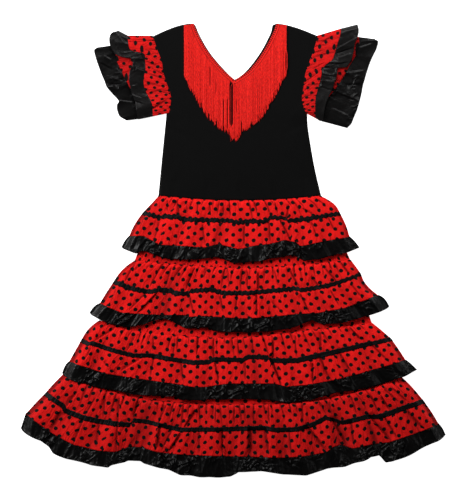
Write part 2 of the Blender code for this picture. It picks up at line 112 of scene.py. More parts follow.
# %% Smooth steps and steady unevenness
def smooth(t):
    t = np.clip(t, 0.0, 1.0)
    return t * t * (3 - 2 * t)


def mix(a, b, t):
    return a + (b - a) * t


def uneven(number, kind):
    """A steady value from 0 to 1, so that no two folds are alike."""
    wave = math.sin(number * 12.9898 + kind * 78.233) * 43758.5453
    return wave - math.floor(wave)


def softened(values, reach):
    """A row of values with its corners rounded over this many columns."""
    steps = np.arange(-3 * reach, 3 * reach + 1)
    weights = np.exp(-0.5 * (steps / reach) ** 2)
    wide = np.pad(np.ravel(values), 3 * reach, mode="edge")
    return np.convolve(wide, weights / weights.sum(), mode="valid").reshape(np.shape(values))


print("four uneven folds:", [round(uneven(number, 1), 2) for number in range(4)])

# %% Curves through stations
def along(stations, t):
    """A smooth curve through evenly spaced heights, t from 0 to 1."""
    stations = np.asarray(stations, float)
    t = np.asarray(t, float)
    spans = len(stations) - 1
    i = np.clip((t * spans).astype(int), 0, spans - 1)
    f = t * spans - i
    ends = np.concatenate([[2 * stations[0] - stations[1]], stations, [2 * stations[-1] - stations[-2]]])
    before, a, b, after = ends[i], ends[i + 1], ends[i + 2], ends[i + 3]
    return (a * (2 * f**3 - 3 * f**2 + 1) + (b - before) / 2 * (f**3 - 2 * f**2 + f)
            + b * (3 * f**2 - 2 * f**3) + (after - a) / 2 * (f**3 - f**2))


def curve(points, t):
    """A smooth curve through evenly spaced (across, up) points, t from 0 to 1."""
    return along([p[0] for p in points], t), along([p[1] for p in points], t)


def line_x(line, u):
    return mix(line[0], line[1], u) * MM


def line_y(line, u):
    return along(line[2], u) * MM


print("the lowest edge dips to", round(float(line_y(SKIRT_LINES[(4, "edge")], 0.5)), 3), "m")

# %% [markdown]
# ## The draft
# A gathered hem is never a clean curve: it jumps wherever a fold lifts it. A pattern maker would draw such lines
# on squared paper, so they are kept that way here. A square is 1.7 mm, counted across and down from the paper's
# top left corner, and `draft` turns squares into metres on the floor.

# %% Squared paper
SQUARE = 1.7 * MM
PAPER_ROWS = 500  # the height of the paper in squares
PAPER_MIDDLE = (233.0, 249.75)


def draft(points):
    """Points in squares, across and down, as rows of metres across and up."""
    squares = np.array(points, float)
    return np.stack([(squares[:, 0] - PAPER_MIDDLE[0]) * SQUARE,
                     (PAPER_MIDDLE[1] - squares[:, 1]) * SQUARE], axis=1)


def read_draft(points, x, reach):
    """The height of a drafted line at each x, with its corners rounded over this many columns."""
    line = draft(points)
    return softened(np.interp(x, line[:, 0], line[:, 1]), reach)


print("the paper is", round(PAPER_ROWS * SQUARE, 2), "m high")

# %% The ribbons on the paper
RIBBON_DRAFT = {
    1: ((143, 212.3), (158, 217), (175, 215.5), (185, 219), (215, 220), (230, 220.4), (238, 222.4), (247, 221),
        (265.7, 221.5), (271.5, 216.6), (284.7, 217.8), (288, 221), (317, 217), (340, 213)),
    2: ((113.6, 281.6), (131, 288.3), (147.4, 292), (161.8, 289.7), (170.4, 291), (176, 293.5), (187.6, 294),
        (190.5, 291), (209.6, 289.2), (224, 293), (249, 293), (270, 290.7), (295, 288.3), (301.8, 290.2),
        (316, 287.8), (335.3, 283.5), (353.4, 276.8), (361, 273.6)),
    3: ((81.2, 340.2), (89.6, 344.4), (91, 342.3), (110.5, 349.4), (133.5, 355.7), (149.6, 355), (174.8, 359.7),
        (193, 362.6), (209, 362), (213.8, 359), (230, 359.4), (243, 360), (248, 356.4), (268.6, 357),
        (270, 360.6), (296.7, 360.6), (317, 355.8), (334, 352), (363, 344.8), (375.5, 342.4), (391.0, 338.6)),
    4: ((45.0, 393.2), (58, 402.3), (63.6, 405.8), (65.2, 411), (83, 417.7), (98.6, 421.2), (118, 424),
        (131.4, 424.7), (133, 419.8), (146, 421.2), (160, 424.7), (181, 429.6), (223.5, 429), (263.7, 427.5),
        (276.3, 429.6), (297.3, 429), (312.8, 424), (325.4, 417), (336.6, 420.5), (342, 422.6), (367.5, 416.3),
        (376, 417), (384.3, 415), (405.4, 407.2), (424, 401.2)),
}
print("points of the ribbons' lines:", [len(points) for points in RIBBON_DRAFT.values()])

# %% The flounces' hems on the paper
HEM_DRAFT = {
    1: ((129, 236.5), (143, 235.6), (160, 244.8), (182, 246), (204, 247.7), (218.6, 244), (239, 249.3),
        (255, 245.6), (270.6, 244), (284.7, 240), (296.3, 242.3), (300.5, 246.4), (323.7, 241.4), (349.6, 237)),
    2: ((99.5, 303.6), (122.5, 313), (160.8, 315), (185.7, 315), (189.5, 317), (203, 316), (240, 318.4),
        (253, 318), (279.8, 316), (297, 314), (318, 313), (344.8, 308), (373.5, 296.9), (378.6, 295.4)),
    3: ((69.0, 361.6), (106, 373.5), (133.5, 378), (170, 383), (194, 387), (207, 387), (217, 385), (230, 383.6),
        (274.8, 383.6), (287, 386.7), (307.6, 384.8), (334, 380), (363, 372.7), (405.6, 360)),
    4: ((25.4, 413.9), (52, 433), (73, 444.4), (95.8, 450), (115.4, 452), (129.4, 446.5), (142, 447.2),
        (160.3, 452.8), (188.4, 454.9), (233, 456.3), (283.3, 457.7), (308.6, 455.6), (326.8, 452),
        (332.4, 447.2), (342, 444.4), (352, 448.6), (370, 444.4), (388.6, 442.3), (412.4, 434.5), (439, 424.2)),
}
print("points of the hems' lines:", [len(points) for points in HEM_DRAFT.values()])

# %% The sides on the paper
SIDE_BULGE = {
    # squares that the sides bulge by: left and right above the ribbon, below it, and down the ruffle
    1: (0.0, 4.3, 1.5, 1.2, 0.8, 0.8), 2: (3.1, 0.2, 0.4, -3.8, 1.4, 1.9),
    3: (3.0, 0.7, 0.2, 0.5, 1.2, 0.6), 4: (0.6, 1.3, 0.4, 0.7, 0.0, 0.8),
}
# squares, across and up, that the ends of these seams are tucked under the ruffle above them
SEAM_TUCKS = {3: ((6.6, 5.0), (0.0, 0.0)), 4: ((2.6, 2.7), (-3.7, 3.8))}
print("widest bulge:", max(abs(bulge) for row in SIDE_BULGE.values() for bulge in row), "squares")

# %% [markdown]
# ## Laying cloth
# Every piece of this dress is a tube of thin cloth that lies flat: a front, a turned side, a back and another
# turned side. One grid makes a whole tube. Its points are moved into place, its two ends are merged, and a
# Solidify gives it a wall. The UV map holds real distances across and down the cloth, in metres, so a dot printed
# on it stays the same size wherever the cloth goes.

# %% Lengths and hollows of the cloth
# painted shade: the sharp and the wide hollows of each row are darkened in the cotton's colour
HOLLOWS = ((2, 0.6 * MM, 0.9), (9, 2.6 * MM, 0.45))  # columns that one spans, its full depth, its shade


def edge_lengths(row):
    """How far each point of a row is along it, in metres."""
    return np.concatenate([[0.0], np.cumsum(np.linalg.norm(np.diff(row, axis=0), axis=1))])


def cloth_lengths(points):
    """How far each point is down its own column of cloth, in metres."""
    steps = np.linalg.norm(np.diff(points, axis=0), axis=2)
    return np.concatenate([np.zeros((1, points.shape[1])), np.cumsum(steps, axis=0)])


def lean(points):
    """How far each point has slid along its own row since the top one, because its column leans, in metres."""
    plan = points[:, :, :2]
    ahead = np.gradient(plan, axis=1)
    reach = max(4, points.shape[1] // 12)
    ahead = np.stack([np.stack([softened(row, reach) for row in ahead[:, :, k]]) for k in (0, 1)], axis=2)
    ahead /= np.linalg.norm(ahead, axis=2)[:, :, None]
    steps = (np.diff(plan, axis=0) * 0.5 * (ahead[1:] + ahead[:-1])).sum(axis=2)
    return np.concatenate([np.zeros((1, points.shape[1])), np.cumsum(steps, axis=0)])


def hollows(points):
    """How far each point lies in a sharp or a wide hollow of its own row, from 0 to 1, which is painted in as shade.
    """
    z = points[:, :, 2]
    total = np.zeros_like(z)
    for reach, depth, shade in HOLLOWS:
        level = np.stack([softened(row, reach) for row in z])
        total += shade * np.clip((level - z) / depth, 0, 1)
    return np.clip(total, 0, 1)


print("kinds of hollow:", len(HOLLOWS))

# %% A grid of points as a piece of cloth
SHELL = 0.35 * MM  # the thickness of the cloth
made = []


def add_grid(bm, points, across, down, shade=None):
    """Add one grid to bm, its vertices moved to points[row, column], and its UVs from across and down."""
    rows, columns = points.shape[:2]
    # each point carries its painted shade in the attribute named hollow
    depth = bm.verts.layers.float.get("hollow") or bm.verts.layers.float.new("hollow")
    layer = bm.loops.layers.uv.get("UVMap") or bm.loops.layers.uv.new("UVMap")
    new = bmesh.ops.create_grid(bm, x_segments=columns - 1, y_segments=rows - 1, size=0.5)
    where = {}
    faces = set()
    for vert in new["verts"]:
        i = round((vert.co.x + 0.5) * (columns - 1))
        j = round((0.5 - vert.co.y) * (rows - 1))
        where[vert] = (across[j, i], down[j, i])
        vert[depth] = 0.0 if shade is None else shade[j, i]
        vert.co = points[j, i]
        faces.update(vert.link_faces)
    for face in faces:
        for loop in face.loops:
            loop[layer].uv = where[loop.vert]


def finish_cloth(bm, name, wall=SHELL, weld=0.02 * MM):
    """Make an object of bm, its doubles merged and a wall grown inwards from its outer face."""
    bmesh.ops.remove_doubles(bm, verts=bm.verts[:], dist=weld)
    mesh = bpy.data.meshes.new(name)
    bm.to_mesh(mesh)
    bm.free()
    mesh.shade_smooth()
    thing = bpy.data.objects.new(name, mesh)
    bpy.context.scene.collection.objects.link(thing)
    if wall:
        grown = thing.modifiers.new("wall", "SOLIDIFY")
        grown.thickness = wall
        grown.offset = -1.0
    made.append(thing)
    return thing


print("cloth is", round(SHELL / MM, 2), "mm thick")

# %% A tube of cloth
TURN_STEPS = (0.22, 0.5, 0.78)
LEAST_DROP = 0.4  # a leaning column still counts for this share of its length


def turn(a, b, out, axis):
    """Three columns that carry cloth round a flat side, from column a to column b, bulging by out."""
    columns = []
    for t in TURN_STEPS:
        column = mix(a, b, t)
        column[:, 2] = mix(a[:, 2], b[:, 2], (1 - math.cos(math.pi * t)) / 2)
        column[:, axis] += out * math.sin(math.pi * t)
        columns.append(column)
    return np.stack(columns, axis=1)


def tube_of(front, back, out, axis):
    """A front and a back, in the same order of columns, as the columns of one tube that closes on itself."""
    return np.concatenate([front, turn(front[:, -1], back[:, -1], out, axis), back[:, ::-1],
                           turn(back[:, 0], front[:, 0], -out, axis), front[:, :1]], axis=1)


def lay_tube(name, front, back, across=None, out=1.2 * MM, axis=0, sunk=0.0, slack=(1.0, 1.0)):
    """Lay a tube, and measure it round its lower edge and down its columns.

    across is the front's own UV, where its folds hide cloth, sunk adds painted shade to the front, and slack
    stretches both UVs.
    """
    points = tube_of(front, back, out, axis)
    down = cloth_lengths(points)
    length = float(down[-1].mean())
    round_it = edge_lengths(points[-1])
    width = np.repeat(round_it[None], len(points), axis=0)
    # painted shade, from how deep each point lies in a hollow of its row
    shade = hollows(points)
    if across is not None:
        n = front.shape[1]
        slid = lean(front)
        steps, slips = np.diff(down[:, :n], axis=0), np.diff(slid, axis=0)
        down[1:, :n] = np.cumsum(np.sqrt(np.maximum(steps**2 - slips**2, (LEAST_DROP * steps) ** 2)), axis=0)
        down *= slack[1]
        width[:, :n] = (across + slid) * slack[0]
        width[:, n:] = round_it[None, n:] - round_it[n - 1] + width[:, n - 1:n]
        # and sunk adds more painted shade to the front
        shade[:, :n] = np.clip(shade[:, :n] + sunk, 0, 1)
    bm = bmesh.new()
    add_grid(bm, points, width, down, shade)
    return finish_cloth(bm, name), float(round_it[-1]), length


print("columns at each turned side:", len(TURN_STEPS))

# %% [markdown]
# ## Gathered flounces
# A flounce is a straight strip, about a third longer than the line it is sewn to. Gathering thread draws its top
# edge up, so the cloth leaves the seam in rounded lobes with a sharp trough between each two, and the lobes run
# together into wide soft folds lower down. So a flounce's height is the sum of four things: the wide folds that
# the solids have, a puff below the seam, the sharp troughs, and the creases from the draft. A cloth simulation
# would give folds too, but not these ones in these places.

# %% The wide folds
GATHERS = {
    # tier: (folds in the flounce, their height, the height of the ruffle's own folds), heights in millimetres
    1: (9, 6.0, 4.5), 2: (11, 7.0, 4.5), 3: (12, 8.0, 5.0), 4: (14, 9.0, 5.5),
}
DEEP_FOLDS = {
    # tier: (across, half width, how far it sinks: 1 is down to the underskirt)
    1: ((-162, 17, 0.3), (-27, 14, 0.9), (90, 20, 0.5)), 2: ((-119, 22, 1.0),), 3: ((42, 20, 0.8),),
    4: ((-168, 24, 1.0), (29, 22, 0.9), (184, 22, 1.0), (243, 12, 0.7)),
}


def fold_columns(folds, kind):
    """Uneven folds from 0 to 1: the places of their columns and their heights from 0 to 1."""
    widths = [0.65 + 0.7 * uneven(i, kind) for i in range(folds)]
    whole = sum(widths)
    places, heights = [], []
    start = 0.0
    for i, width in enumerate(widths):
        crest = 0.45 + 0.55 * uneven(i, kind + 3)
        skew = 0.08 * (uneven(i, kind + 7) - 0.5)
        places += [start / whole, (start + (0.26 + skew) * width) / whole,
                   (start + (0.5 + skew) * width) / whole, (start + (0.74 + skew) * width) / whole]
        heights += [0.0, 0.5 * crest, crest, 0.5 * crest]
        start += width
    return np.array(places + [1.0]), np.array(heights + [0.0])


def deep_fold(tier, u):
    """How far the tier's deep folds sink the cloth at u, from 0 to 1."""
    left, right, _ = SKIRT_LINES[(tier, "hem")]
    across = mix(left, right, u)
    total = np.zeros_like(u)
    for place, half, sinks in DEEP_FOLDS[tier]:
        total += sinks * (1 - smooth(np.abs(across - place) / half))
    return total


def wide_folds(tier, u):
    """The height of the wide folds at u, from 0 to 1."""
    places, heights = fold_columns(GATHERS[tier][0], tier)
    return softened(np.interp(u[0], places, heights), 4)[None] * (1 - deep_fold(tier, u))


print("wide folds:", sum(row[0] for row in GATHERS.values()), "sunk:", sum(len(rows) for rows in DEEP_FOLDS.values()))

# %% Troughs of the gathering
LOBE_PITCH = 13 * MM
STITCHES = {
    # line of stitches: pitch of its troughs in lobes, their set, their depth, sharpness and spread in millimetres
    "gathering": (1.0, 40, 5.0, 1.6, 2.4), "between": (0.55, 60, 1.5, 1.0, 1.5),
    "ribbon": (0.5, 80, 1.1, 1.2, 2.0), "hem": (0.6, 100, 0.8, 1.2, 2.0),
}


def gather_marks(width, pitch, kind):
    """The troughs along a gathered seam: place in metres, slant, share of the drop, depth."""
    marks = []
    place = 0.4 * pitch
    number = 0
    while place < width - 0.3 * pitch:
        marks.append((place, (uneven(number, kind + 1) - 0.5) * 0.9 * pitch,
                      0.35 + 1.0 * uneven(number, kind + 2) ** 2, 0.4 + 0.6 * uneven(number, kind + 3)))
        place += pitch * (0.55 + 0.9 * uneven(number, kind))
        number += 1
    return marks


def troughs(width, pitch, kind, u, share, sharp, spread):
    """Sharp-bottomed troughs, 0 to 1 deep, steep on one side, that fade down the cloth. share is 0 at the seam."""
    total = np.zeros(np.broadcast_shapes(u.shape, share.shape))
    for place, slant, length, depth in gather_marks(width, pitch, kind):
        away = u * width - place - slant * share
        steep = 0.6 if slant > 0 else -0.6
        reach = (sharp + spread * share) * (1 + steep * np.tanh(away / sharp))
        total = np.maximum(total, depth * np.exp(-np.abs(away) / reach) * (1 - smooth(share / length)))
    return total


def seam_width(tier):
    left, right, _ = SKIRT_LINES[(tier, "seam")]
    return (right - left) * MM


def stitched(tier, line, u, share):
    """How deep a line of stitches draws the cloth in, in metres. share is 0 at the stitches."""
    pitch, kind, depth, sharp, spread = STITCHES[line]
    return depth * MM * troughs(seam_width(tier), pitch * LOBE_PITCH, kind + tier, u, share, sharp * MM, spread * MM)


print("width of each seam:", [round(seam_width(tier), 3) for tier in TIERS])

# %% [markdown]
# The creases are single strokes, each with its own depth, so they sit where this dress has them rather than
# wherever noise puts them. A negative depth raises a ridge instead. Every stroke also pushes up a soft lip on its
# right, or on its left where the width is negative, because cloth that sinks on one side rolls up on the other.

# %% A crease as a stroke on the paper
CREASES = {}


def strokes(rows, x, y):
    """The height that drafted strokes take away from (or, where negative, add to) points at x, y."""
    total = np.zeros_like(x)
    for x0, y0, x1, y1, depth, half in rows:
        (ax, ay), (bx, by) = draft([(x0, y0), (x1, y1)])
        length = math.hypot(bx - ax, by - ay)
        way = ((bx - ax) / length, (by - ay) / length)
        run = ((x - ax) * way[0] + (y - ay) * way[1]) / length
        side = ((x - ax) * way[1] - (y - ay) * way[0]) / (abs(half) * MM) * math.copysign(-1, half)
        fade = smooth(run / 0.18 + 0.3) * smooth((1 - run) / 0.35 + 0.15)
        sunk = np.exp(-np.clip(side, 0, None) / 1.8) * smooth(side / 0.3 + 0.5)
        lip = np.exp(-np.clip(-side, 0, None) / 1.8) * smooth(0.5 - side / 0.3)
        total += depth * MM * fade * (1.1 * sunk - 0.45 * lip)
    return total


middle = strokes([(233, 240, 233, 260, 2.0, 3)], np.array([0.1 * MM]), np.array([0.0]))
print("a stroke 2 mm deep sinks its middle by", round(float(middle[0]) / MM, 2), "mm")

# %% Creases in the first flounce, in squares, with depth and half width in millimetres
CREASES[1] = (
    # across, down, to across, to down, depth, half width
    (168, 200, 168, 212, 1.6, 3), (177.6, 201, 180.5, 217, 3.4, 4), (187, 201, 188, 213, 1.6, 3),
    (198.5, 201, 198, 214, 1.8, 3), (210.5, 202, 211, 214, 1.6, 3), (223.6, 202, 224.5, 216, 2.2, 3),
    (230, 202, 231, 216, 1.4, 2.5), (274, 202, 277, 213, 2.2, -3), (290, 205, 287, 221, 3.4, 4),
    (303, 208, 314, 214, 1.8, 3), (245, 226, 245, 246, 2.0, 5), (270, 222, 271, 242, 2.0, 5),
    (279, 220, 291, 242, 2.6, -4), (160, 222, 155, 240, 1.4, 5), (203, 224, 206, 246, 1.2, 5),
    (312, 222, 318, 238, 1.4, 5), (146, 214, 139, 232, 1.2, 4), (328, 216, 336, 232, 1.4, 4),
    (256, 201, 258, 216, 1.4, 3), (154, 199, 150, 211, 1.4, 3),
)
print("creases in flounce 1:", len(CREASES[1]))

# %% Creases in the second flounce
CREASES[2] = (
    (136, 263, 125, 283, 2.6, 4), (196, 267, 186, 291, 3.6, 4), (208, 267, 204, 279, 2.0, 3),
    (248, 270, 248, 289, 2.4, 4), (257, 272, 257, 292, 2.6, -4), (289, 267, 301, 289, 3.0, 4),
    (312, 276, 321, 288, 1.8, 4), (322, 266, 337, 283, 2.6, -4), (338, 258, 351, 275, 2.6, 4),
    (157, 292, 136, 314, -2.4, 6), (148, 292, 128, 312, 1.8, 5), (117, 288, 110, 306, 1.4, 4),
    (190, 294, 194, 312, 1.8, 4), (221, 296, 224, 313, 1.8, 4), (238, 295, 236, 313, 2.0, 4),
    (257.5, 294, 257.5, 318, 3.6, 4), (271, 302, 285, 316, 1.8, -4), (301, 294, 311, 314, 2.4, 4),
    (331, 290, 340, 306, 1.6, 4), (172, 268, 166, 288, 2.4, 5), (160, 270, 150, 288, 1.6, 4),
    (228, 268, 230, 288, 1.6, 3), (275, 270, 279, 287, 1.4, 3), (352, 284, 362, 297, 1.6, 4),
)
print("creases in flounce 2:", len(CREASES[2]))

# %% Creases in the third flounce
CREASES[3] = (
    (115, 329, 92, 343, 2.8, 4), (154, 334, 154, 352, 2.2, 4), (199, 338, 197, 358, 2.2, 3),
    (214.5, 337, 214.5, 359, 3.8, 4), (272, 340, 272, 359, 2.6, -4), (321.5, 331, 321.5, 352, 3.4, 4),
    (350, 327, 363, 340, 2.8, 4), (141, 359, 121, 371, 3.2, 4), (103, 362, 117, 375, 2.0, -4),
    (155, 356, 151, 377, 2.0, 4), (182, 362, 184, 382, 2.0, 4), (214, 362, 218, 382, 2.0, -4),
    (269, 357, 281, 387, 3.8, -5), (313.6, 363, 313.6, 385, 3.6, 4), (321, 357, 330, 378, 2.4, 4),
    (136, 336, 127, 352, 1.6, 4), (176, 337, 174, 356, 1.6, 3), (238, 338, 240, 356, 1.8, 4),
    (253, 339, 254, 354, 1.4, 3), (296, 335, 297, 356, 1.8, 4), (340, 352, 352, 372, 1.8, 4),
    (372, 344, 388, 360, 1.8, 4), (92, 348, 84, 362, 1.6, 4), (246, 362, 246, 380, 1.6, 5),
)
print("creases in flounce 3:", len(CREASES[3]))

# %% Creases in the lowest flounce
CREASES[4] = (
    (141, 400, 133, 418, 3.4, 4), (167, 405, 159, 424, 2.6, 4), (194, 410, 183, 428, 2.6, -4),
    (216, 405, 216, 424, 1.8, 3), (235, 405, 235, 424, 2.0, 3), (254.6, 405, 254.6, 423, 1.8, 3),
    (269, 404, 270, 424, 2.2, 4), (303, 402, 304, 424, 2.2, 4), (382, 396, 391, 410, 2.8, 4),
    (384, 388, 400, 402, 1.6, 3), (392, 387, 408, 401, 1.6, 3), (372, 396, 379, 412, 2.0, 4),
    (352, 397, 358, 415, 2.2, 4), (330, 400, 332, 414, 2.0, 4), (120, 398, 117, 452, 3.6, 5),
    (159, 424, 155, 450, 4.2, -4), (180, 432, 168, 451, -2.6, 6), (172, 432, 162, 451, 1.8, 5),
    (223.5, 430, 223.5, 455, 3.8, 4), (248, 428, 248, 456, 4.4, -4), (266, 428, 270, 456, 2.6, 6),
    (307, 424, 328, 451, 3.4, 5), (330, 418, 346, 446, 3.6, -5), (352, 420, 355, 448, 2.6, 4),
    (368, 416, 391, 442, 4.0, -5), (385, 416, 398, 438, 2.0, 4), (96, 398, 86, 416, 2.2, 4),
    (78, 392, 66, 408, 2.2, 4), (84, 420, 74, 444, 2.0, 5), (60, 410, 50, 428, 2.2, -5),
    (100, 424, 97, 448, 1.8, 5), (200, 432, 200, 454, 1.6, 5), (290, 430, 292, 456, 1.6, 5),
    (408, 410, 424, 428, 2.0, 5), (106, 398, 104, 418, 1.6, 3), (182, 404, 178, 420, 1.6, 3),
)
print("creases in flounce 4:", len(CREASES[4]))

# %% [markdown]
# A flounce's front is worked out in three steps: where its points lie on the floor, how high they stand, and how
# far across the cut cloth each one is. The last step matters for the print. At the seam most of the cloth is
# hidden in the troughs, so the dots crowd there, and at the hem it is spread out.

# %% Where a flounce's points lie
FRONT_COLUMNS = {1: 350, 2: 430, 3: 520, 4: 600}
RIBBON_AT = 0.5
FLOUNCE_ROWS = np.concatenate([[0, 0.012, 0.03, 0.055, 0.085, 0.12], np.linspace(0.16, 0.5, 12),
                               np.linspace(0.5, 1.0, 21)[1:-1], [0.985, 1.0]])


def front_grid(tier, rows):
    """u along the rows and v down the columns of a flounce's front."""
    return np.linspace(0, 1, FRONT_COLUMNS[tier])[None], np.asarray(rows, float)[:, None]


def down_flounce(v, seam, ribbon, hem):
    """A value that runs from the seam (v is 0) by the ribbon (0.5) to the hem (1)."""
    t = v / RIBBON_AT
    return np.where(t < 1, mix(seam, ribbon, t), mix(ribbon, hem, t - 1))


def flounce_plan(tier, u, v):
    """Where the flounce's points lie: v from the seam (0) by the ribbon (0.5) to the hem (1)."""
    seam = SKIRT_LINES[(tier, "seam")]
    ribbon, hem = draft(RIBBON_DRAFT[tier]), draft(HEM_DRAFT[tier])
    seam_x, seam_y = line_x(seam, u), line_y(seam, u)
    ribbon_x = mix(ribbon[0, 0], ribbon[-1, 0], u)
    hem_x = mix(hem[0, 0], hem[-1, 0], u)
    for (right, up), near in zip(SEAM_TUCKS.get(tier, ()), ((1 - u) ** 12, u**12)):
        seam_x, seam_y = seam_x + right * SQUARE * near, seam_y + up * SQUARE * near
    ribbon_y = read_draft(RIBBON_DRAFT[tier], ribbon_x, 1)
    hem_y = read_draft(HEM_DRAFT[tier], hem_x, 2)
    left, right, low_left, low_right = SIDE_BULGE[tier][:4]
    t = v / RIBBON_AT
    above = (right * u**4 - left * (1 - u) ** 4) * np.sin(math.pi * np.minimum(t, 1) ** 0.85)
    below = (low_right * u**4 - low_left * (1 - u) ** 4) * np.sin(math.pi * (t - 1))
    bulge = np.where(t < 1, above, below) * SQUARE
    return down_flounce(v, seam_x, ribbon_x, hem_x) + bulge, down_flounce(v, seam_y, ribbon_y, hem_y)


print("points in the front of flounce 4:", FRONT_COLUMNS[4] * len(FLOUNCE_ROWS))

# %% How high a flounce's points stand
SIDE_TURN = 14 * MM
PUFF_STARTS, PUFF_ENDS = 3.0 * MM, 26 * MM
PUFF_HIGH, PUFF_LOW = 5.4 * MM, 2.4 * MM
LOWEST_SLOPE = 5.0 * MM  # the lowest flounce leaves its seam this much higher, over the cloth bunched there
RIBBON_DRAWS = 0.9 * MM
CREASE_DEPTH = 1.35  # strokes on a flounce sink this much deeper than drafted
TUCKED_Z = 1.2 * MM


def side_inside(line, u, reach):
    """0 at the two ends of a level line, 1 from this far inside them."""
    return smooth(np.minimum(u, 1 - u) * (line[1] - line[0]) * MM / reach)


def flounce_height(tier, u, v, x, y):
    """The underside of the flounce at points x, y."""
    inside = side_inside(SKIRT_LINES[(tier, "hem")], u, SIDE_TURN)
    # the wide folds grow down the cloth, and its sides come down to meet the back
    full = 0.06 + 0.94 * smooth(0.15 + 0.85 * v) * smooth(v / 0.06)
    low = FRONT_FLOUNCE_Z - (FRONT_FLOUNCE_Z - BACK_SKIRT_Z) * smooth((v - 0.3) / 0.5) * (1 - inside)
    slope = LOWEST_SLOPE * (1 - v) * smooth(v / 0.06) if tier == 4 else 0.0
    z = low + ((0.25 + wide_folds(tier, u)) * GATHERS[tier][1] * MM * full + slope) * inside
    # the puff rises just below the seam and sinks again further down, cut by the troughs
    drop = np.abs(y - flounce_plan(tier, u, 0.0 * v)[1])
    rise = 1 - np.exp(-drop / PUFF_STARTS)
    puff = PUFF_LOW + (PUFF_HIGH - PUFF_LOW) * np.exp(-drop / PUFF_ENDS)
    share = v / RIBBON_AT
    z = z + rise * (puff - stitched(tier, "gathering", u, share)) * inside
    z = z - stitched(tier, "between", u, share * 1.5) * rise * inside
    # the ribbon's stitches and the hem's draw the cloth in too
    near = np.abs(v - RIBBON_AT) / 0.22
    z = z - (RIBBON_DRAWS * np.exp(-(near / 0.3) ** 2) + stitched(tier, "ribbon", u, near)) * inside
    z = z - stitched(tier, "hem", u, (1 - v) / 0.3) * inside
    z = z - CREASE_DEPTH * strokes(CREASES[tier], x, y) * inside * rise
    return np.maximum(z, low + 0.25 * MM * smooth(v / 0.03))


def flounce_front(tier, rows):
    """The upper face of a flounce's front at these rows, as points."""
    u, v = front_grid(tier, rows)
    x, y = flounce_plan(tier, u, v)
    z = flounce_height(tier, u, v, x, y)
    for (right, _), near in zip(SEAM_TUCKS.get(tier, ()), ((1 - u) ** 24, u**24)):
        z = mix(z, TUCKED_Z, (right != 0) * near * (1 - smooth(v / 0.25)))
    if tier == 1:
        at_waist = v < 0.001
        y, z = y + 1.6 * MM * at_waist, z - 0.7 * MM * at_waist
    return np.stack([x, y, z + CLOTH_WALL], axis=2)


print("the top of flounce 1 is", round(float(flounce_front(1, [0.1])[0, :, 2].max()) / MM, 1), "mm up")

# %% How far across the cut cloth, and how much painted shade
FINE_FOLDS = 1.12  # the fine folds take up this much more cloth than the wide ones alone
HIDING_WIDTH = 0.9 * MM
LEFT_SHADE_COLUMNS = 20


def flounce_across(tier, rows):
    """How far across its cut cloth each point of a flounce's front lies, in metres."""
    u, v = front_grid(tier, rows)
    x, y = flounce_plan(tier, u, v)
    inside = side_inside(SKIRT_LINES[(tier, "hem")], u, SIDE_TURN)
    folds = (wide_folds(tier, u) * GATHERS[tier][1] * MM * inside)[0]
    cut = edge_lengths(np.stack([x[-1], softened(y[-1], 30), folds], axis=1)) * FINE_FOLDS
    slid = lean(np.stack([x, y, 0 * x], axis=2))[-1]
    cut *= 1 - (slid[-1] - slid[0]) / cut[-1]
    along_seam = u * seam_width(tier)
    hidden = np.zeros_like(u)
    for place, _, _, depth in gather_marks(seam_width(tier), LOBE_PITCH, STITCHES["gathering"][1] + tier):
        hidden += depth / (1 + np.exp(-np.clip((along_seam - place) / HIDING_WIDTH, -30, 30)))
    at_seam = along_seam + (cut[-1] - seam_width(tier)) * hidden / hidden[0, -1]
    return mix(at_seam, cut[None], smooth(v / 0.9))


def flounce_shade(tier, rows):
    """Painted shade on the front: how much darker it is made in its deep folds, at its left end, and all over the
    lowest flounce.
    """
    u, v = front_grid(tier, rows)
    left_end = 1 - smooth(u * FRONT_COLUMNS[tier] / LEFT_SHADE_COLUMNS)
    return 0.40 * deep_fold(tier, u) * smooth(v / RIBBON_AT + 0.3) + 0.35 * left_end + (0.2 if tier == 4 else 0.0)


print("cloth across flounce 1:", round(float(flounce_across(1, FLOUNCE_ROWS)[-1, -1]), 3), "m")

# %% A flounce's back
BACK_INSET = 2.0  # how far the back's sides lie inside the front's, in millimetres
BACK_COLUMNS = 70


def flounce_back(tier, rows):
    """The back of a flounce: flat, as the floor presses it, with shallow creases."""
    u = np.linspace(0, 1, BACK_COLUMNS)[None]
    v = np.asarray(rows, float)[:, None]
    lines = [SKIRT_LINES[(tier, name)] for name in ("seam", "ribbon", "hem")]
    x = down_flounce(v, *(line_x(line, u) for line in lines)) + BACK_INSET * MM * (1 - 2 * u)
    y = down_flounce(v, *(line_y(line, u) for line in lines))
    cut = troughs(seam_width(tier), 17 * MM, 140 + tier, u, v / RIBBON_AT, 2.5 * MM, 4 * MM)
    z = BACK_FLOUNCE_Z + 0.9 * MM * cut * smooth(v / 0.03)
    return np.stack([x, y, z], axis=2)


print("the back of flounce 1 is", round(float(np.ptp(flounce_back(1, [1.0])[0, :, 0])), 3), "m wide")

# %% Sew on the flounces
flounces = {}
for tier in TIERS:
    piece, width, length = lay_tube(
        f"flounce_{tier}", flounce_front(tier, FLOUNCE_ROWS), flounce_back(tier, FLOUNCE_ROWS),
        flounce_across(tier, FLOUNCE_ROWS), sunk=flounce_shade(tier, FLOUNCE_ROWS))
    flounces[tier] = (piece, width, length)
    print(piece.name, "cut", round(width, 3), "x", round(length, 3), "m")

# %% [markdown]
# ## Ribbons
# A narrow black ribbon is stitched flat over each flounce, halfway down, and draws it in a little, so it ruches.
# Its points are the flounce's own points at the same places, lifted by the thickness of the two layers. That is
# surer than a separate curve, because the ribbon then follows every fold that it crosses.

# %% Sew on the ribbons
RIBBON_WIDTH = 8.0 * MM
RIBBON_ROWS = 7
RIBBON_LIFT = 0.5 * MM
RIBBON_SWAY = {1: 1.0, 2: 0.8, 3: 0.4, 4: 0.3}


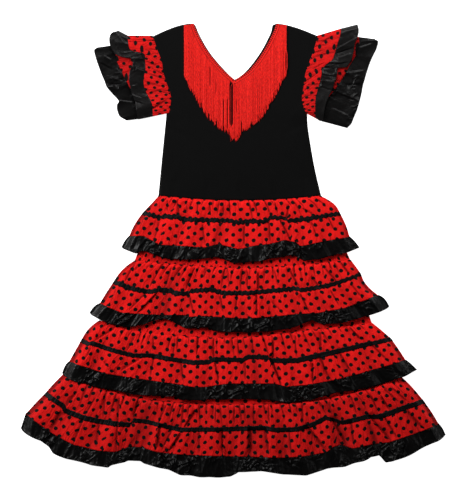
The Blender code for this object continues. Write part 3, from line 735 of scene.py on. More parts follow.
def ribbon_rows(tier):
    seam, hem = SKIRT_LINES[(tier, "seam")], SKIRT_LINES[(tier, "hem")]
    half = 0.5 * RIBBON_WIDTH / ((seam[2][2] - hem[2][2]) * MM)
    return np.linspace(RIBBON_AT - half, RIBBON_AT + half, RIBBON_ROWS)


ribbons = {}
for tier in TIERS:
    front, back = flounce_front(tier, ribbon_rows(tier)), flounce_back(tier, ribbon_rows(tier))
    run = edge_lengths(front[RIBBON_ROWS // 2])
    crown = np.sin(np.pi * np.linspace(0.0, 1.0, RIBBON_ROWS))[:, None]
    ruche = np.sin(run * 2 * math.pi / (3.7 * MM) + 3 * np.sin(run * 61))[None]
    sway = np.sin(run * 2 * math.pi / (9.1 * MM) + 2 * np.sin(run * 37))[None]
    front[:, :, 2] += RIBBON_LIFT + (0.28 + 0.16 * ruche) * MM * crown
    front[:, :, 1] += RIBBON_SWAY[tier] * MM * sway
    back[:, :, 2] = BACK_FLOUNCE_Z - (0.4 + 0.2 * crown) * MM
    ribbons[tier], width, _ = lay_tube(f"ribbon_{tier}", front, back, out=1.7 * MM)
    print(ribbons[tier].name, "length", round(width, 3), "m")

# %% [markdown]
# ## Satin ruffles
# Each hem carries a ruffle of black satin, cut straight and gathered again, so it has more and narrower folds
# than its flounce. Satin shows a thin bright line wherever a fold has a crest. The crests are therefore sharp here
# and the valleys wide, the other way round from the cotton.

# %% The ruffles' edges on the paper
EDGE_DRAFT = {
    1: ((121.4, 246.4), (122.2, 248.4), (129.7, 251.5), (136.4, 253.4), (143, 250.8), (168, 259.2), (195, 259.4),
        (217, 256.6), (234.4, 263.6), (246, 262.7), (258, 261.2), (280, 257.2), (293, 255.2), (305, 261.2),
        (320, 258.7), (347, 252.4), (359.8, 247.6)),
    2: ((89.4, 312.2), (90.7, 314.8), (95.9, 317.6), (100, 319.8), (112, 324.6), (128, 327.2), (143.6, 324.8),
        (161.8, 317.8), (170, 320.1), (185.7, 328.2), (208.7, 327.7), (212.5, 331.2), (247, 332.5), (273, 331.1),
        (297, 326.7), (302.7, 323.9), (312, 319.7), (321, 323.9), (340, 323.9), (359, 318.4), (371.3, 314.8),
        (380.3, 311.6), (387.3, 308.6), (389.6, 306.4)),
    3: ((62.0, 372.5), (63, 375.2), (68.6, 379), (72.9, 380.6), (85.7, 384.4), (106, 388.8), (133.5, 394.3),
        (174.8, 396.7), (180.5, 400.3), (240, 399), (262, 399.3), (285, 402.3), (310, 400.7), (333, 393.5),
        (370, 387.2), (401.5, 377.4), (408, 374.6), (417.2, 369.8)),
    4: ((20.6, 428), (22.2, 431.2), (26.8, 434.8), (33.6, 437.8), (40.8, 440.8), (43.9, 443.4), (48.9, 446.8),
        (50.8, 449.8), (53, 453), (58.6, 455.8), (66.6, 459), (80.5, 462), (91.6, 465), (108.4, 467.2),
        (111, 465), (125, 462), (128, 460.6), (140.7, 461.3), (143.5, 463.6), (168.7, 469.9), (180, 474.7),
        (205, 477.3), (230.5, 476.9), (236, 473.9), (238.4, 471.9), (261, 471.2), (283.3, 474.7),
        (305.8, 475.3), (326.8, 468.8), (345, 466.4), (367.5, 459.4), (376, 453.8), (380, 455.8), (385.7, 462.6),
        (391.5, 462), (400.4, 458.6), (409.4, 455.4), (415.3, 452.4), (420.1, 449.4), (425.3, 446.6),
        (431.4, 443.6), (439.4, 440.4), (443.5, 437.6), (445.8, 434.6)),
}
print("points of the ruffles' edges:", [len(points) for points in EDGE_DRAFT.values()])

# %% Folds and crests of the satin
def ruffle_folds(places, kind):
    """The ruffle's columns: its flounce's own and one between each two, so two folds to a flounce fold."""
    columns = []
    for a, b in zip(places, places[1:]):
        columns += [a, mix(a, b, 0.44 + 0.12 * uneven(len(columns), kind))]
    columns.append(1.0)
    heights = [(0.0, 0.5, 1.0, 0.5)[i % 4] * (0.5 + 0.5 * uneven(i // 4, kind + 3)) for i in range(len(columns))]
    return np.array(columns), np.array(heights)


def ridges(width, pitch, kind, u, share, sharp):
    """Narrow crests, 0 to 1 high, that lean and fade down the ruffle."""
    total = np.zeros(np.broadcast_shapes(u.shape, share.shape))
    for place, slant, length, height in gather_marks(width, pitch, kind):
        distance = np.abs(u * width - place - slant * (share - 0.3))
        body = smooth(share / 0.12) * (1 - 0.75 * smooth((share - length) / 0.5))
        total = np.maximum(total, height * body / (1 + (distance / sharp) ** 2))
    return total


def edge_width(tier):
    left, right, _ = SKIRT_LINES[(tier, "edge")]
    return (right - left) * MM


print("width of each ruffle's edge:", [round(edge_width(tier), 3) for tier in TIERS])

# %% A ruffle's front
RUFFLE_ROWS = np.array([0.0, 0.05, 0.11, 0.18, 0.26, 0.35, 0.44, 0.53, 0.62, 0.71, 0.80, 0.88, 0.95, 1.0])[:, None]
RUFFLE_TURN = 24 * MM
EDGE_WAVE = 0.5 * MM
CREST_HIGH, FRILL_DEEP = 2.0 * MM, 0.7 * MM
LEAST_RUFFLE_Z = 3.4 * MM


def ruffle_plan(tier, u, v, hem, inside):
    """Where the ruffle's points lie: v from the flounce's hem (0) to the ruffle's edge (1)."""
    edge = draft(EDGE_DRAFT[tier])
    edge_x = mix(edge[0, 0], edge[-1, 0], u)
    edge_y = read_draft(EDGE_DRAFT[tier], edge_x, 1)
    run = u * edge_width(tier)
    wave = EDGE_WAVE * np.sin(run / (8.5 * MM) + 4 * np.sin(run / (47 * MM)))
    x = mix(hem[None, :, 0], edge_x, v)
    y = mix(hem[None, :, 1] + 0.9 * MM, edge_y + wave * inside, v)
    for side, bulge, column in ((-1, SIDE_BULGE[tier][4], 0), (1, SIDE_BULGE[tier][5], -1)):
        down, out = y[0, column] - y[-1, column], abs(x[-1, column] - x[0, column])
        near = np.exp(-np.abs(x - x[:, column:column + 1 or None]) / (9 * MM)) * np.sin(math.pi * v**0.8)
        x = x + side * down / math.hypot(down, out) * bulge * SQUARE * near
        y = y + out / math.hypot(down, out) * bulge * SQUARE * near
    return x, y


def ruffle_front(tier):
    hem = flounce_front(tier, [1.0])[0]
    u, v, width = np.linspace(0, 1, len(hem))[None], RUFFLE_ROWS, edge_width(tier)
    inside = side_inside(SKIRT_LINES[(tier, "edge")], u, RUFFLE_TURN)
    x, y = ruffle_plan(tier, u, v, hem, inside)
    places, heights = ruffle_folds(fold_columns(GATHERS[tier][0], tier)[0], tier + 10)
    fold = softened(np.interp(u[0], places, heights), 3)[None] * GATHERS[tier][2] * MM * inside
    resting = mix(BACK_WALL + SEAM_GAP, FRONT_FLOUNCE_Z, inside)
    hem_z = hem[None, :, 2] - CLOTH_WALL
    edge_z = np.maximum(resting, mix(hem_z, resting, 0.35)) + fold
    crest = ridges(width, 27 * MM, 200 + tier, u, v, 2.2 * MM)
    crest = crest + 0.5 * ridges(width, 19 * MM, 210 + tier, u, 1 - v, 1.6 * MM)
    fine = troughs(width, 8 * MM, 220 + tier, u, v * 2.6, 1.0 * MM, 1.5 * MM)
    z = mix(hem_z - 0.5 * MM, edge_z, np.sin(0.5 * math.pi * v))
    z = z + (CREST_HIGH * crest - FRILL_DEEP * fine) * inside + CLOTH_WALL
    return np.stack([x, y, np.maximum(z, LEAST_RUFFLE_Z)], axis=2)


print("rows down a ruffle:", len(RUFFLE_ROWS))

# %% A ruffle's back
RUFFLE_BACK_COLUMNS = 90


def ruffle_back(tier):
    u, v = np.linspace(0, 1, RUFFLE_BACK_COLUMNS)[None], RUFFLE_ROWS
    hem, edge = SKIRT_LINES[(tier, "hem")], SKIRT_LINES[(tier, "edge")]
    edge_x = line_x(edge, u)
    front_edge = read_draft(EDGE_DRAFT[tier], edge_x[0], 2)[None]
    edge_y = np.maximum(line_y(edge, u) + BACK_INSET * MM, front_edge + 2.0 * MM)
    x = mix(line_x(hem, u), edge_x, v) + BACK_INSET * MM * (1 - 2 * u)
    y = mix(line_y(hem, u) + 2.0 * MM, edge_y, v)
    cut = troughs(edge_width(tier), 13 * MM, 240 + tier, u, v, 2 * MM, 3 * MM)
    z = 0.05 * MM + 0.7 * MM * cut * smooth(v / 0.1) * (1 - smooth((v - 0.8) / 0.2))
    return np.stack([x, y, z], axis=2)


print("the back of ruffle 4 is", round(float(np.ptp(ruffle_back(4)[-1, :, 0])), 3), "m wide")

# %% Sew on the ruffles
ruffles = {}
for tier in TIERS:
    piece, width, length = lay_tube(f"ruffle_{tier}", ruffle_front(tier), ruffle_back(tier), out=0.8 * MM)
    ruffles[tier] = (piece, width, length)
    print(piece.name, "cut", round(width, 3), "x", round(length, 3), "m")

# %% [markdown]
# ## Underskirt
# The flounces hang on a plain A-line underskirt of the same cotton, and a strip of it shows between each ruffle
# and the next seam. The gathering puckers that strip too, so the same troughs run a few millimetres up into it.

# %% The underskirt
UNDERSKIRT_HEM = (-296, 296, (-236, -276, -285, -276, -240))
# how far the sides lie inside their level lines, left and right, from the waist to the hem
UNDERSKIRT_INSETS = ((2, 2), (0.3, 1), (12, 0.5), (22, 10), (14, 6))
SKIRT_LEVELS = [SKIRT_LINES[(tier, "seam")] for tier in TIERS] + [UNDERSKIRT_HEM]
SKIRT_STEPS = 13
PUCKER_FADES = 9 * MM


def underskirt_side(height, columns, puckers):
    """The front or the back of the underskirt, as points at this height."""
    u = np.linspace(0, 1, columns)[None]
    levels = [(line_x(line, u) + mix(left, -right, u) * MM, line_y(line, u))
              for line, (left, right) in zip(SKIRT_LEVELS, UNDERSKIRT_INSETS)]
    rows = []
    for k, (above, below) in enumerate(zip(levels, levels[1:])):
        width = (SKIRT_LEVELS[k + 1][1] - SKIRT_LEVELS[k + 1][0]) * MM
        kind = STITCHES["gathering"][1] + k + 2
        for v in np.linspace(0, 1, SKIRT_STEPS)[(1 if k else 0):]:
            v = 1 - (1 - v) ** 1.6
            x, y = mix(above[0], below[0], v), mix(above[1], below[1], v)
            up = y - below[1]
            cut = troughs(width, LOBE_PITCH, kind, u, up / (14 * MM), 1.2 * MM, 3 * MM)
            puff = 0.6 if k < 3 else 0.0
            z = height + puckers * (puff - 0.9 * cut) * MM * np.exp(-up / PUCKER_FADES)
            rows.append(np.concatenate([x, y, z]).T)
    return np.stack(rows)


skirt, skirt_width, skirt_length = lay_tube(
    "underskirt", underskirt_side(FRONT_SKIRT_Z + BACK_WALL, 300, 1.0), underskirt_side(BACK_SKIRT_Z, 50, 0.0),
    out=0.5 * MM)
print("underskirt", round(skirt_width, 3), "m round its hem,", round(skirt_length, 3), "m long")

# %% [markdown]
# ## Bodice
# The bodice is matte stretch jersey with no gathers. It lies almost smooth: raised a little over the middle,
# thin at the side folds. Front and back are four grids with the same rows and columns, so their edges meet point
# for point and weld along the middle, the side seams and the shoulders, while the neck and armholes stay open.

# %% The bodice's edges, in millimetres
MIDDLE_SEAM = ((8, 83.3), (7, 144), (5, 204), (3, 255), (3, 289))
NECK_EDGES = {
    "left": ((-16.4, 306), (-40.3, 334), (-57.6, 363), (-67, 385)),
    "right": ((28, 306), (51.6, 337), (67.8, 368), (74, 385)),
}
SIDE_SEAMS = {
    "left": ((-127, 91.3), (-122, 144), (-116, 204), (-113, 233)),
    "right": ((150, 91.3), (138, 144), (128, 204), (126, 232)),
}
ARMHOLES = {
    "left": ((-139, 362), (-134, 345), (-127, 326), (-122, 309), (-116, 289), (-109, 265), (-109, 248), (-113, 233)),
    "right": ((146, 363), (141, 343), (135, 323), (127, 299), (123, 282), (120, 263), (122, 244), (126, 232)),
}
# the place of the neck's point and of the underarm on the way from the waist (0) to the shoulder (1)
NECK_POINT_SHARE = 0.5
UNDERARM_SHARE = 0.375


def inner_edge(side, t):
    """The bodice's middle, then its neck edge, t from the waist (0) to the shoulder (1), in millimetres."""
    below = curve(MIDDLE_SEAM, np.clip(t / NECK_POINT_SHARE, 0, 1))
    above = curve(MIDDLE_SEAM[-1:] + NECK_EDGES[side], np.clip((t - NECK_POINT_SHARE) / (1 - NECK_POINT_SHARE), 0, 1))
    return tuple(np.where(t <= NECK_POINT_SHARE, low, high) for low, high in zip(below, above))


def outer_edge(side, t):
    """The bodice's side seam, then its armhole, t from the waist (0) to the shoulder (1), in millimetres."""
    below = curve(SIDE_SEAMS[side], np.clip(t / UNDERARM_SHARE, 0, 1))
    above = curve(ARMHOLES[side], np.clip((1 - t) / (1 - UNDERARM_SHARE), 0, 1))
    return tuple(np.where(t < UNDERARM_SHARE, low, high) for low, high in zip(below, above))


print("the neck's point is", round(float(inner_edge("left", 0.5)[1])), "mm above the dress's middle")

# %% The bodice's height
BODICE_RISE = 4.5 * MM
ARMHOLE_Z = 3.9 * MM
ARMHOLE_BOTTOM = 232 * MM
LEVEL_WAIST, FULL_RISE = 85 * MM, 130 * MM


def bodice_sides(y):
    """Where the bodice's left and right edges lie at each height, in metres."""
    t = np.linspace(0, 1, 25)
    ends = []
    for side in ("left", "right"):
        across, up = outer_edge(side, t)
        order = np.argsort(up)
        ends.append(np.interp(y / MM, up[order], across[order]) * MM)
    return ends


def bodice_height(x, y):
    """The underside of the bodice's front: low at its sides, raised over the middle, level at the waist."""
    left, right = bodice_sides(y)
    middle = 1 - np.minimum(1.0, np.abs((2 * x - left - right) / (right - left))) ** 3
    armhole = smooth((y - ARMHOLE_BOTTOM + 20 * MM) / (25 * MM))
    edge = mix(BACK_WALL + SEAM_GAP, ARMHOLE_Z, armhole)
    body = mix(edge, BACK_WALL + SEAM_GAP + BODICE_RISE, middle)
    return mix(FRONT_FLOUNCE_Z, body, smooth((y - LEVEL_WAIST) / (FULL_RISE - LEVEL_WAIST)))


print("bodice", round(float(bodice_height(np.array([0.0]), np.array([0.2]))[0] / MM), 2), "mm up in its middle")

# %% Soft drags in the jersey
JERSEY_DRAGS = (
    # across, down, to across, to down, depth, half width: from the bust to the waist, and in from the underarms
    (170, 196, 176, 172, 0.9, 7), (205, 198, 207, 176, 0.7, 6), (238, 199, 238, 178, 0.8, 7),
    (275, 198, 272, 176, 0.7, 6), (305, 196, 299, 174, 0.9, 7), (167, 124, 196, 138, 0.8, 8),
    (308, 124, 282, 138, 0.8, 8), (172, 100, 190, 118, 0.5, 7), (303, 100, 288, 118, 0.5, 7),
)
BODICE_ROWS, HALF_COLUMNS = 100, 34
WAIST_SHARE = 0.2
BACK_NECK_SHOWS = {"left": (1.8, 1.8), "right": (4.1, 6.0)}  # millimetres below the shoulder, and at it
SHOULDER_RISE = {"left": 4.6, "right": 3.4}
SHOULDER_LENGTH = 300 * MM
EDGE_Z, EDGE_TURN = 1.5 * MM, 3.0 * MM
FAR = 1.0  # a metre, where no side seam is near


def waist_dip(side, share):
    """How far the waist lies above a straight line from the middle to the side, in millimetres."""
    left, right, heights = SKIRT_LINES[(1, "seam")]
    x = mix(MIDDLE_SEAM[0][0], SIDE_SEAMS[side][0][0], share)
    straight = mix(MIDDLE_SEAM[0][1], SIDE_SEAMS[side][0][1], share)
    return along(heights, (x - left) / (right - left)) + SEAM_GAP / MM - straight


def bodice_half(side, is_front):
    """One half of the front or back as points, its columns from the middle outwards."""
    t = np.linspace(1, 0, BODICE_ROWS)[:, None]
    share = np.linspace(0, 1, HALF_COLUMNS)[None]
    inner_x, inner_y = inner_edge(side, t)
    if not is_front:
        shows = mix(*BACK_NECK_SHOWS[side], smooth((t - 0.85) / 0.15)) * (-1 if side == "left" else 1)
        inner_x = inner_x - shows * smooth((t - NECK_POINT_SHARE) / 0.15) * smooth((1 - t) / 0.02)
    outer_x, outer_y = outer_edge(side, t)
    x, y = mix(inner_x, outer_x, share) * MM, mix(inner_y, outer_y, share)
    y = y + SHOULDER_RISE[side] * np.sin(math.pi * share ** 0.8) * smooth((t - 0.88) / 0.12)
    y = (y + waist_dip(side, share) * smooth(1 - t / WAIST_SHARE)) * MM
    drags = strokes(JERSEY_DRAGS, x, y)
    if is_front:
        z = bodice_height(x, y) + CLOTH_WALL - drags
    else:
        z = 0.05 * MM + 0.35 * MM * smooth(drags / MM)
    from_side = np.where(t < UNDERARM_SHARE, np.hypot(x - outer_x * MM, y - outer_y * MM), FAR)
    from_shoulder = np.abs(1 - t) * SHOULDER_LENGTH
    z = mix(z, EDGE_Z, 1 - smooth(np.minimum(from_side, from_shoulder) / EDGE_TURN))
    return np.stack([x, y, z], axis=2)


print("drags in the jersey:", len(JERSEY_DRAGS))

# %% Cut and close the bodice
bm = bmesh.new()
for is_front in (True, False):
    for side in ("left", "right"):
        points = bodice_half(side, is_front)
        if (side == "left") == is_front:
            points = points[:, ::-1]
        add_grid(bm, points, points[:, :, 0], points[:, :, 1])
bodice = finish_cloth(bm, "bodice")
print(bodice.name, len(bodice.data.polygons), "faces")

# %% [markdown]
# ## Braid and fringe
# A woven red braid is sewn round the neck, and rayon cords hang from it, close together, each cut at its own
# length. The braid is a narrow grid along the neck line whose height runs in two plaited cords. The cords of the
# fringe are small six-sided tubes in two layers, so that no bodice shows between them except where they part.

# %% The neck line
BRAID_WIDTH = 7.4 * MM
BRAID_STEPS = 250
BRAID_TOP = 380 * MM


def neck_line():
    """The braid's inner edge and its outward direction, from the left shoulder to the right, in metres."""
    t = np.linspace(1.0, NECK_POINT_SHARE, BRAID_STEPS)
    left = np.stack(inner_edge("left", t), axis=1)
    right = np.stack(inner_edge("right", t[::-1]), axis=1)
    line = np.concatenate([left, right[1:]]) * MM
    ahead = np.gradient(line, axis=0)
    ahead = np.stack([softened(ahead[:, 0], 5), softened(ahead[:, 1], 5)], axis=1)
    ahead /= np.linalg.norm(ahead, axis=1)[:, None]
    return line, np.stack([ahead[:, 1], -ahead[:, 0]], axis=1)


def bodice_top(x, y):
    """The upper face of the bodice's front, in metres."""
    return bodice_height(x, np.minimum(y, BRAID_TOP)) + CLOTH_WALL


neck, outward = neck_line()
print("neck edge", round(float(edge_lengths(neck)[-1]), 3), "m")

# %% Plait the braid
BRAID_COLUMNS = 13
PLAIT_STEP = 2.6 * MM
share = np.linspace(0, 1, BRAID_COLUMNS)[:, None]
run = edge_lengths(neck)[None]
braid_x = neck[None, :, 0] + outward[None, :, 0] * BRAID_WIDTH * share
braid_y = neck[None, :, 1] + outward[None, :, 1] * BRAID_WIDTH * share
cord = np.abs(np.sin(2 * math.pi * share))
slope = np.where(share < 0.5, 1.0, -1.0)
plait = 0.5 + 0.5 * np.sin(2 * math.pi * (run / PLAIT_STEP + slope * share * 1.6))
braid_z = bodice_top(braid_x, braid_y) + (0.75 + 0.55 * cord + 0.35 * plait * cord) * MM
bm = bmesh.new()
add_grid(bm, np.stack([braid_x, braid_y, braid_z], axis=2), np.repeat(run, BRAID_COLUMNS, 0),
         np.repeat(share * BRAID_WIDTH, run.shape[1], 1))
braid = finish_cloth(bm, "neck_braid", wall=0.3 * MM)
print(braid.name, len(braid.data.vertices), "points")

# %% [markdown]
# Each cord hangs straight down from the braid. Cords cling in small bunches that draw together towards their
# ends, and a few part just left of the neck's point, where the black bodice shows through.

# %% Where the cords begin, end and part, in millimetres
FRINGE_TOPS = ((-84, 381.3), (92, 381.6))
FRINGE_ENDS = ((-85, 304), (-81, 296), (-73, 275), (-56, 246), (-39, 222), (-22, 208), (-10, 203), (-2, 192),
               (2, 187), (7, 190), (16, 203), (31, 212), (50, 228), (63, 248), (74, 268), (84, 290), (92, 302))
PARTINGS = (
    # middle, half width, and the heights it opens and closes at
    (-3.0, 2.9, 292, 206), (-9.8, 0.6, 262, 200), (-16.4, 0.6, 262, 206), (14.3, 0.8, 226, 190),
    (-39, 0.5, 318, 272), (-29, 0.3, 292, 262), (5.5, 0.3, 262, 230), (90.2, 0.8, 342, 300),
)
LOOSE_CORDS = {57: -3.6}  # this cord of the upper layer hangs alone in the widest parting, at this place
hems = neck + outward * BRAID_WIDTH
fringe_roots = np.concatenate([[FRINGE_TOPS[0]], hems / MM, [FRINGE_TOPS[1]]])
fringe_roots = fringe_roots[np.argsort(fringe_roots[:, 0], kind="stable")]
fringe_ends = np.array(FRINGE_ENDS, float)
print("the longest cord ends", int(fringe_ends[:, 1].min()), "mm above the dress's middle")

# %% The path of a cord
FRINGE_CORDS = 118
CORD_ROWS = 42


def part(path_x, y, x):
    """The cord's path pushed aside by each parting that it hangs beside."""
    for middle, half, top, foot in PARTINGS:
        side = 1 if x > middle else -1
        push = side * np.maximum(0.0, half + 0.9 - side * (path_x - middle))
        path_x = path_x + push * smooth((top - y) / 12) * smooth((y - foot) / 10) * (abs(x - middle) < half + 4)
    return path_x


def cord_path(number, layer):
    """The middle of one cord from its root to its cut end."""
    share = (number + 0.5 * layer + 0.25 * uneven(number, 3 + layer)) / FRINGE_CORDS
    x = mix(FRINGE_TOPS[0][0] + 1.0, FRINGE_TOPS[1][0] - 1.0, min(share, 1.0))
    root = float(np.interp(x, fringe_roots[:, 0], fringe_roots[:, 1])) + 0.3
    end = float(np.interp(x, fringe_ends[:, 0], fringe_ends[:, 1]))
    y = mix(root, end + 13 * uneven(number, 5 + layer) ** 2 - 5.0 + 1.2 * layer, np.linspace(0, 1, CORD_ROWS))
    path_x = x + 0.26 * np.sin(y * 2 * math.pi / (6.3 + 2.2 * uneven(number, 7)) + 6.28 * uneven(number // 3, 8))
    path_x = path_x + 1.1 * (uneven(number, 11 + layer) - 0.5) * smooth((root - y) / 60.0)
    if layer == 1 and number in LOOSE_CORDS:
        path_x = mix(path_x, LOOSE_CORDS[number], smooth((290 - y) / 14))
    else:
        path_x = part(path_x, y, x)
    path_x, y = path_x * MM, y * MM
    return np.stack([path_x, y, bodice_top(path_x, y) + (0.85 + 1.25 * layer) * MM], axis=1)


print("a cord in the middle is", round(float(edge_lengths(cord_path(59, 0))[-1]) / MM), "mm long")

# %% Hang the fringe
CORD_RADIUS = 0.74 * MM
CORD_SIDES = 6
LAYER_NUMBERS = 200  # the upper layer's cords are counted from here, so that each is dyed alone
around = math.pi - 2 * math.pi * np.arange(CORD_SIDES + 1) / CORD_SIDES
ring = np.stack([np.cos(around), 0 * around, np.sin(around)], axis=1)[None]
round_share = 0.999 * np.arange(CORD_SIDES + 1) / (CORD_SIDES + 1)
bm = bmesh.new()
for layer in (0, 1):
    for number in range(FRINGE_CORDS):
        path = cord_path(number, layer)
        thin = 0.4 if layer == 1 and number in LOOSE_CORDS else 1.0
        radius = np.full(CORD_ROWS, thin * CORD_RADIUS * (0.85 + 0.3 * uneven(number, 13)))
        radius[-1] *= 0.25
        points = path[:, None, :] + radius[:, None, None] * ring
        across = np.repeat((number + round_share)[None] + LAYER_NUMBERS * layer, CORD_ROWS, 0)
        down = np.repeat((path[0, 1] - path[:, 1])[:, None], CORD_SIDES + 1, 1)
        add_grid(bm, points, across, down)
fringe = finish_cloth(bm, "fringe", wall=None, weld=0.001 * MM)
print(fringe.name, 2 * FRINGE_CORDS, "cords,", len(fringe.data.polygons), "faces")

# %% [markdown]
# ## Sleeves
# Each sleeve is two short tubes, one inside the other, gathered to the armhole: a red tier with a black ruffle
# over a longer red tier with its own ruffle. They are laid as the flounces are, but turned a quarter, so the tube
# runs outwards from the shoulder and its flat sides lie at the shoulder and at the underarm.

# %% The left sleeve on the paper
SLEEVE_DRAFT = {}
SLEEVE_DRAFT["left"] = (
    # armhole, upper hem, its ruffle's edge, lower hem, its ruffle's edge, from shoulder to underarm
    ((151.1, 35.9), (127.8, 35.9), (118.0, 30.7), (113.0, 45.5), (96.4, 47.8)),
    ((153.5, 40.2), (128.0, 40.0), (111.6, 33.0), (114.0, 49.0), (94.0, 50.0)),
    ((155.0, 45.0), (128.7, 45.0), (109.3, 38.4), (115.2, 53.0), (95.3, 56.4)),
    ((156.7, 50.0), (130.2, 49.5), (110.4, 46.0), (116.1, 57.0), (97.2, 62.5)),
    ((158.9, 55.3), (134.4, 51.2), (115.5, 54.4), (117.2, 62.0), (99.4, 68.5)),
    ((160.8, 60.0), (141.0, 51.8), (124.0, 57.4), (119.4, 66.6), (101.6, 74.5)),
    ((161.9, 65.5), (144.8, 55.0), (131.0, 58.2), (121.7, 71.2), (104.2, 80.6)),
    ((162.6, 71.5), (145.2, 61.5), (132.8, 64.0), (123.6, 75.8), (106.8, 87.0)),
    ((164.3, 77.5), (145.6, 69.5), (129.8, 71.0), (126.0, 80.4), (111.6, 93.0)),
    ((166.2, 84.0), (144.0, 77.6), (129.0, 79.0), (129.0, 86.0), (116.6, 98.2)),
    ((168.5, 90.2), (144.0, 85.3), (130.3, 87.5), (131.5, 92.0), (118.7, 101.6)),
    ((170.1, 96.0), (146.7, 93.1), (132.6, 95.5), (134.0, 98.5), (116.9, 105.0)),
    ((170.2, 101.5), (150.4, 99.8), (135.3, 102.3), (136.5, 105.0), (117.2, 110.6)),
    ((169.5, 106.5), (152.6, 106.4), (136.2, 109.5), (139.0, 111.5), (119.9, 116.4)),
    ((168.3, 112.6), (152.8, 115.9), (138.0, 119.0), (142.0, 118.0), (125.6, 120.0)),
)
print("rows from the left shoulder to the underarm:", len(SLEEVE_DRAFT["left"]))

# %% The right sleeve on the paper
SLEEVE_DRAFT["right"] = (
    ((318.9, 35.4), (341.0, 28.8), (357.6, 24.6), (359.0, 37.3), (375.4, 39.3)),
    ((317.3, 40.5), (340.4, 34.7), (358.8, 30.4), (359.3, 42.5), (378.2, 41.6)),
    ((315.6, 46.5), (338.3, 41.3), (357.6, 36.8), (358.2, 48.8), (376.6, 48.6)),
    ((313.4, 53.0), (336.6, 47.0), (355.0, 43.0), (356.4, 54.6), (373.4, 55.0)),
    ((311.0, 59.5), (334.9, 53.3), (354.0, 49.5), (353.0, 60.2), (370.4, 61.8)),
    ((308.6, 66.0), (332.6, 59.2), (352.4, 56.5), (349.4, 66.0), (368.0, 68.6)),
    ((306.5, 72.0), (328.6, 62.6), (349.8, 63.2), (346.0, 72.4), (366.0, 75.0)),
    ((305.3, 78.0), (324.6, 66.0), (346.0, 67.4), (342.6, 78.2), (364.6, 80.2)),
    ((304.6, 84.0), (322.0, 69.8), (338.4, 67.6), (339.2, 83.8), (363.0, 85.6)),
    ((303.6, 90.0), (321.4, 76.0), (337.2, 74.0), (335.0, 89.2), (361.8, 92.6)),
    ((302.8, 95.5), (319.8, 82.5), (335.0, 82.0), (331.0, 94.4), (359.8, 100.6)),
    ((302.9, 101.0), (317.6, 90.0), (332.0, 90.0), (327.4, 98.4), (357.2, 109.6)),
    ((304.2, 105.8), (315.6, 98.0), (328.4, 97.6), (321.6, 104.5), (353.8, 117.8)),
    ((305.0, 109.5), (315.3, 107.0), (325.0, 107.0), (319.4, 112.4), (351.4, 123.6)),
    ((307.2, 113.2), (315.2, 117.0), (323.0, 121.4), (320.0, 120.2), (347.6, 127.6)),
)
print("rows from the right shoulder to the underarm:", len(SLEEVE_DRAFT["right"]))

# %% Creases in the sleeves
SLEEVE_CREASES = {
    # across, down, to across, to down, depth, half width
    "left": ((151, 109, 168, 98, 1.8, 3), (158, 104, 164, 97, 1.0, 2), (154, 52, 144, 50, 1.0, 2.5),
             (146, 60, 158, 66, 0.9, 3), (147, 82, 160, 84, 0.8, 3), (150, 92, 162, 88, 0.8, 3),
             (133, 65, 145, 71, -1.6, 2.5), (141, 55, 144, 66, -1.4, 2), (132, 86, 138, 84, -1.2, 2),
             (131, 94, 142, 98, -1.4, 3), (134, 100, 144, 104, 1.2, 3), (114, 40, 122, 56, 1.2, 4),
             (118, 34, 126, 44, -1.0, 4), (104, 55, 112, 60, -1.2, 3), (107, 76, 124, 81, -1.6, 3),
             (108, 84, 122, 83, 1.2, 3), (100, 62, 114, 70, 1.2, 4), (118, 100, 134, 102, -1.0, 4)),
    "right": ((321, 42, 333, 35, 1.2, 3), (316, 55, 331, 52, 0.9, 3), (313, 68, 325, 62, 0.9, 3),
              (308, 84, 320, 84, 0.8, 3), (306, 96, 316, 92, 0.8, 3), (336, 49, 357, 37, -2.2, 3),
              (336, 53, 354, 47, 1.6, 3), (337, 58, 351, 53, -2.0, 3), (334, 64, 348, 62, 1.6, 3),
              (324, 66, 337, 64, -2.0, 3), (322, 74, 338, 77, 1.8, 3), (321, 80, 337, 81, -2.0, 3),
              (320, 86, 332, 90, 1.4, 3), (340, 32, 349, 28, -1.2, 3), (352, 30, 357, 36, 1.0, 3),
              (360, 47, 372, 43, -1.4, 3), (350, 72, 364, 70, -1.2, 4), (336, 92, 356, 100, 1.4, 4),
              (333, 108, 350, 116, -1.0, 4), (345, 84, 362, 84, 1.2, 4)),
}
print("creases in the sleeves:", sum(len(rows) for rows in SLEEVE_CREASES.values()))

# %% What sets a sleeve's tiers apart
SLEEVE_TIERS = {
    # hem, edge: columns of the draft. base, low: the front's and the back's underside at the armhole. rise: how
    # much higher the hem is. swell, frill: the height of the cotton's and the satin's folds. calm, shown: the
    # share that shows of the satin's crests and of the creases. tuck: how far the seam hides. set: of its marks.
    "upper": {"hem": 1, "edge": 2, "base": 4.2 * MM, "low": 0.0, "rise": 3.0 * MM, "swell": 2.8 * MM,
              "frill": 3.0 * MM, "calm": 1.0, "wall": CLOTH_WALL, "shown": 1.0, "tuck": -1.4, "set": 0},
    "lower": {"hem": 3, "edge": 4, "base": 2.6 * MM, "low": 1.3 * MM, "rise": 0.0, "swell": 1.6 * MM,
              "frill": 4.0 * MM, "calm": 0.55, "wall": BACK_WALL, "shown": 0.8, "tuck": -2.4, "set": 20},
}
SLEEVE_SETS = {"left": 300, "right": 340}
FOLD_SETS = {"left": 20, "right": 30}
# painted shade added over each red tier of a sleeve, more on the lower tiers and on the right sleeve; the satin does
# not read it
SLEEVE_SHADE = {("left", "upper"): 0.36, ("right", "upper"): 0.45, ("left", "lower"): 0.56, ("right", "lower"): 0.65}
SLEEVE_FOLDS = 4
SLEEVE_LENGTH = 150 * MM
RUFFLE_TUCK = -0.9


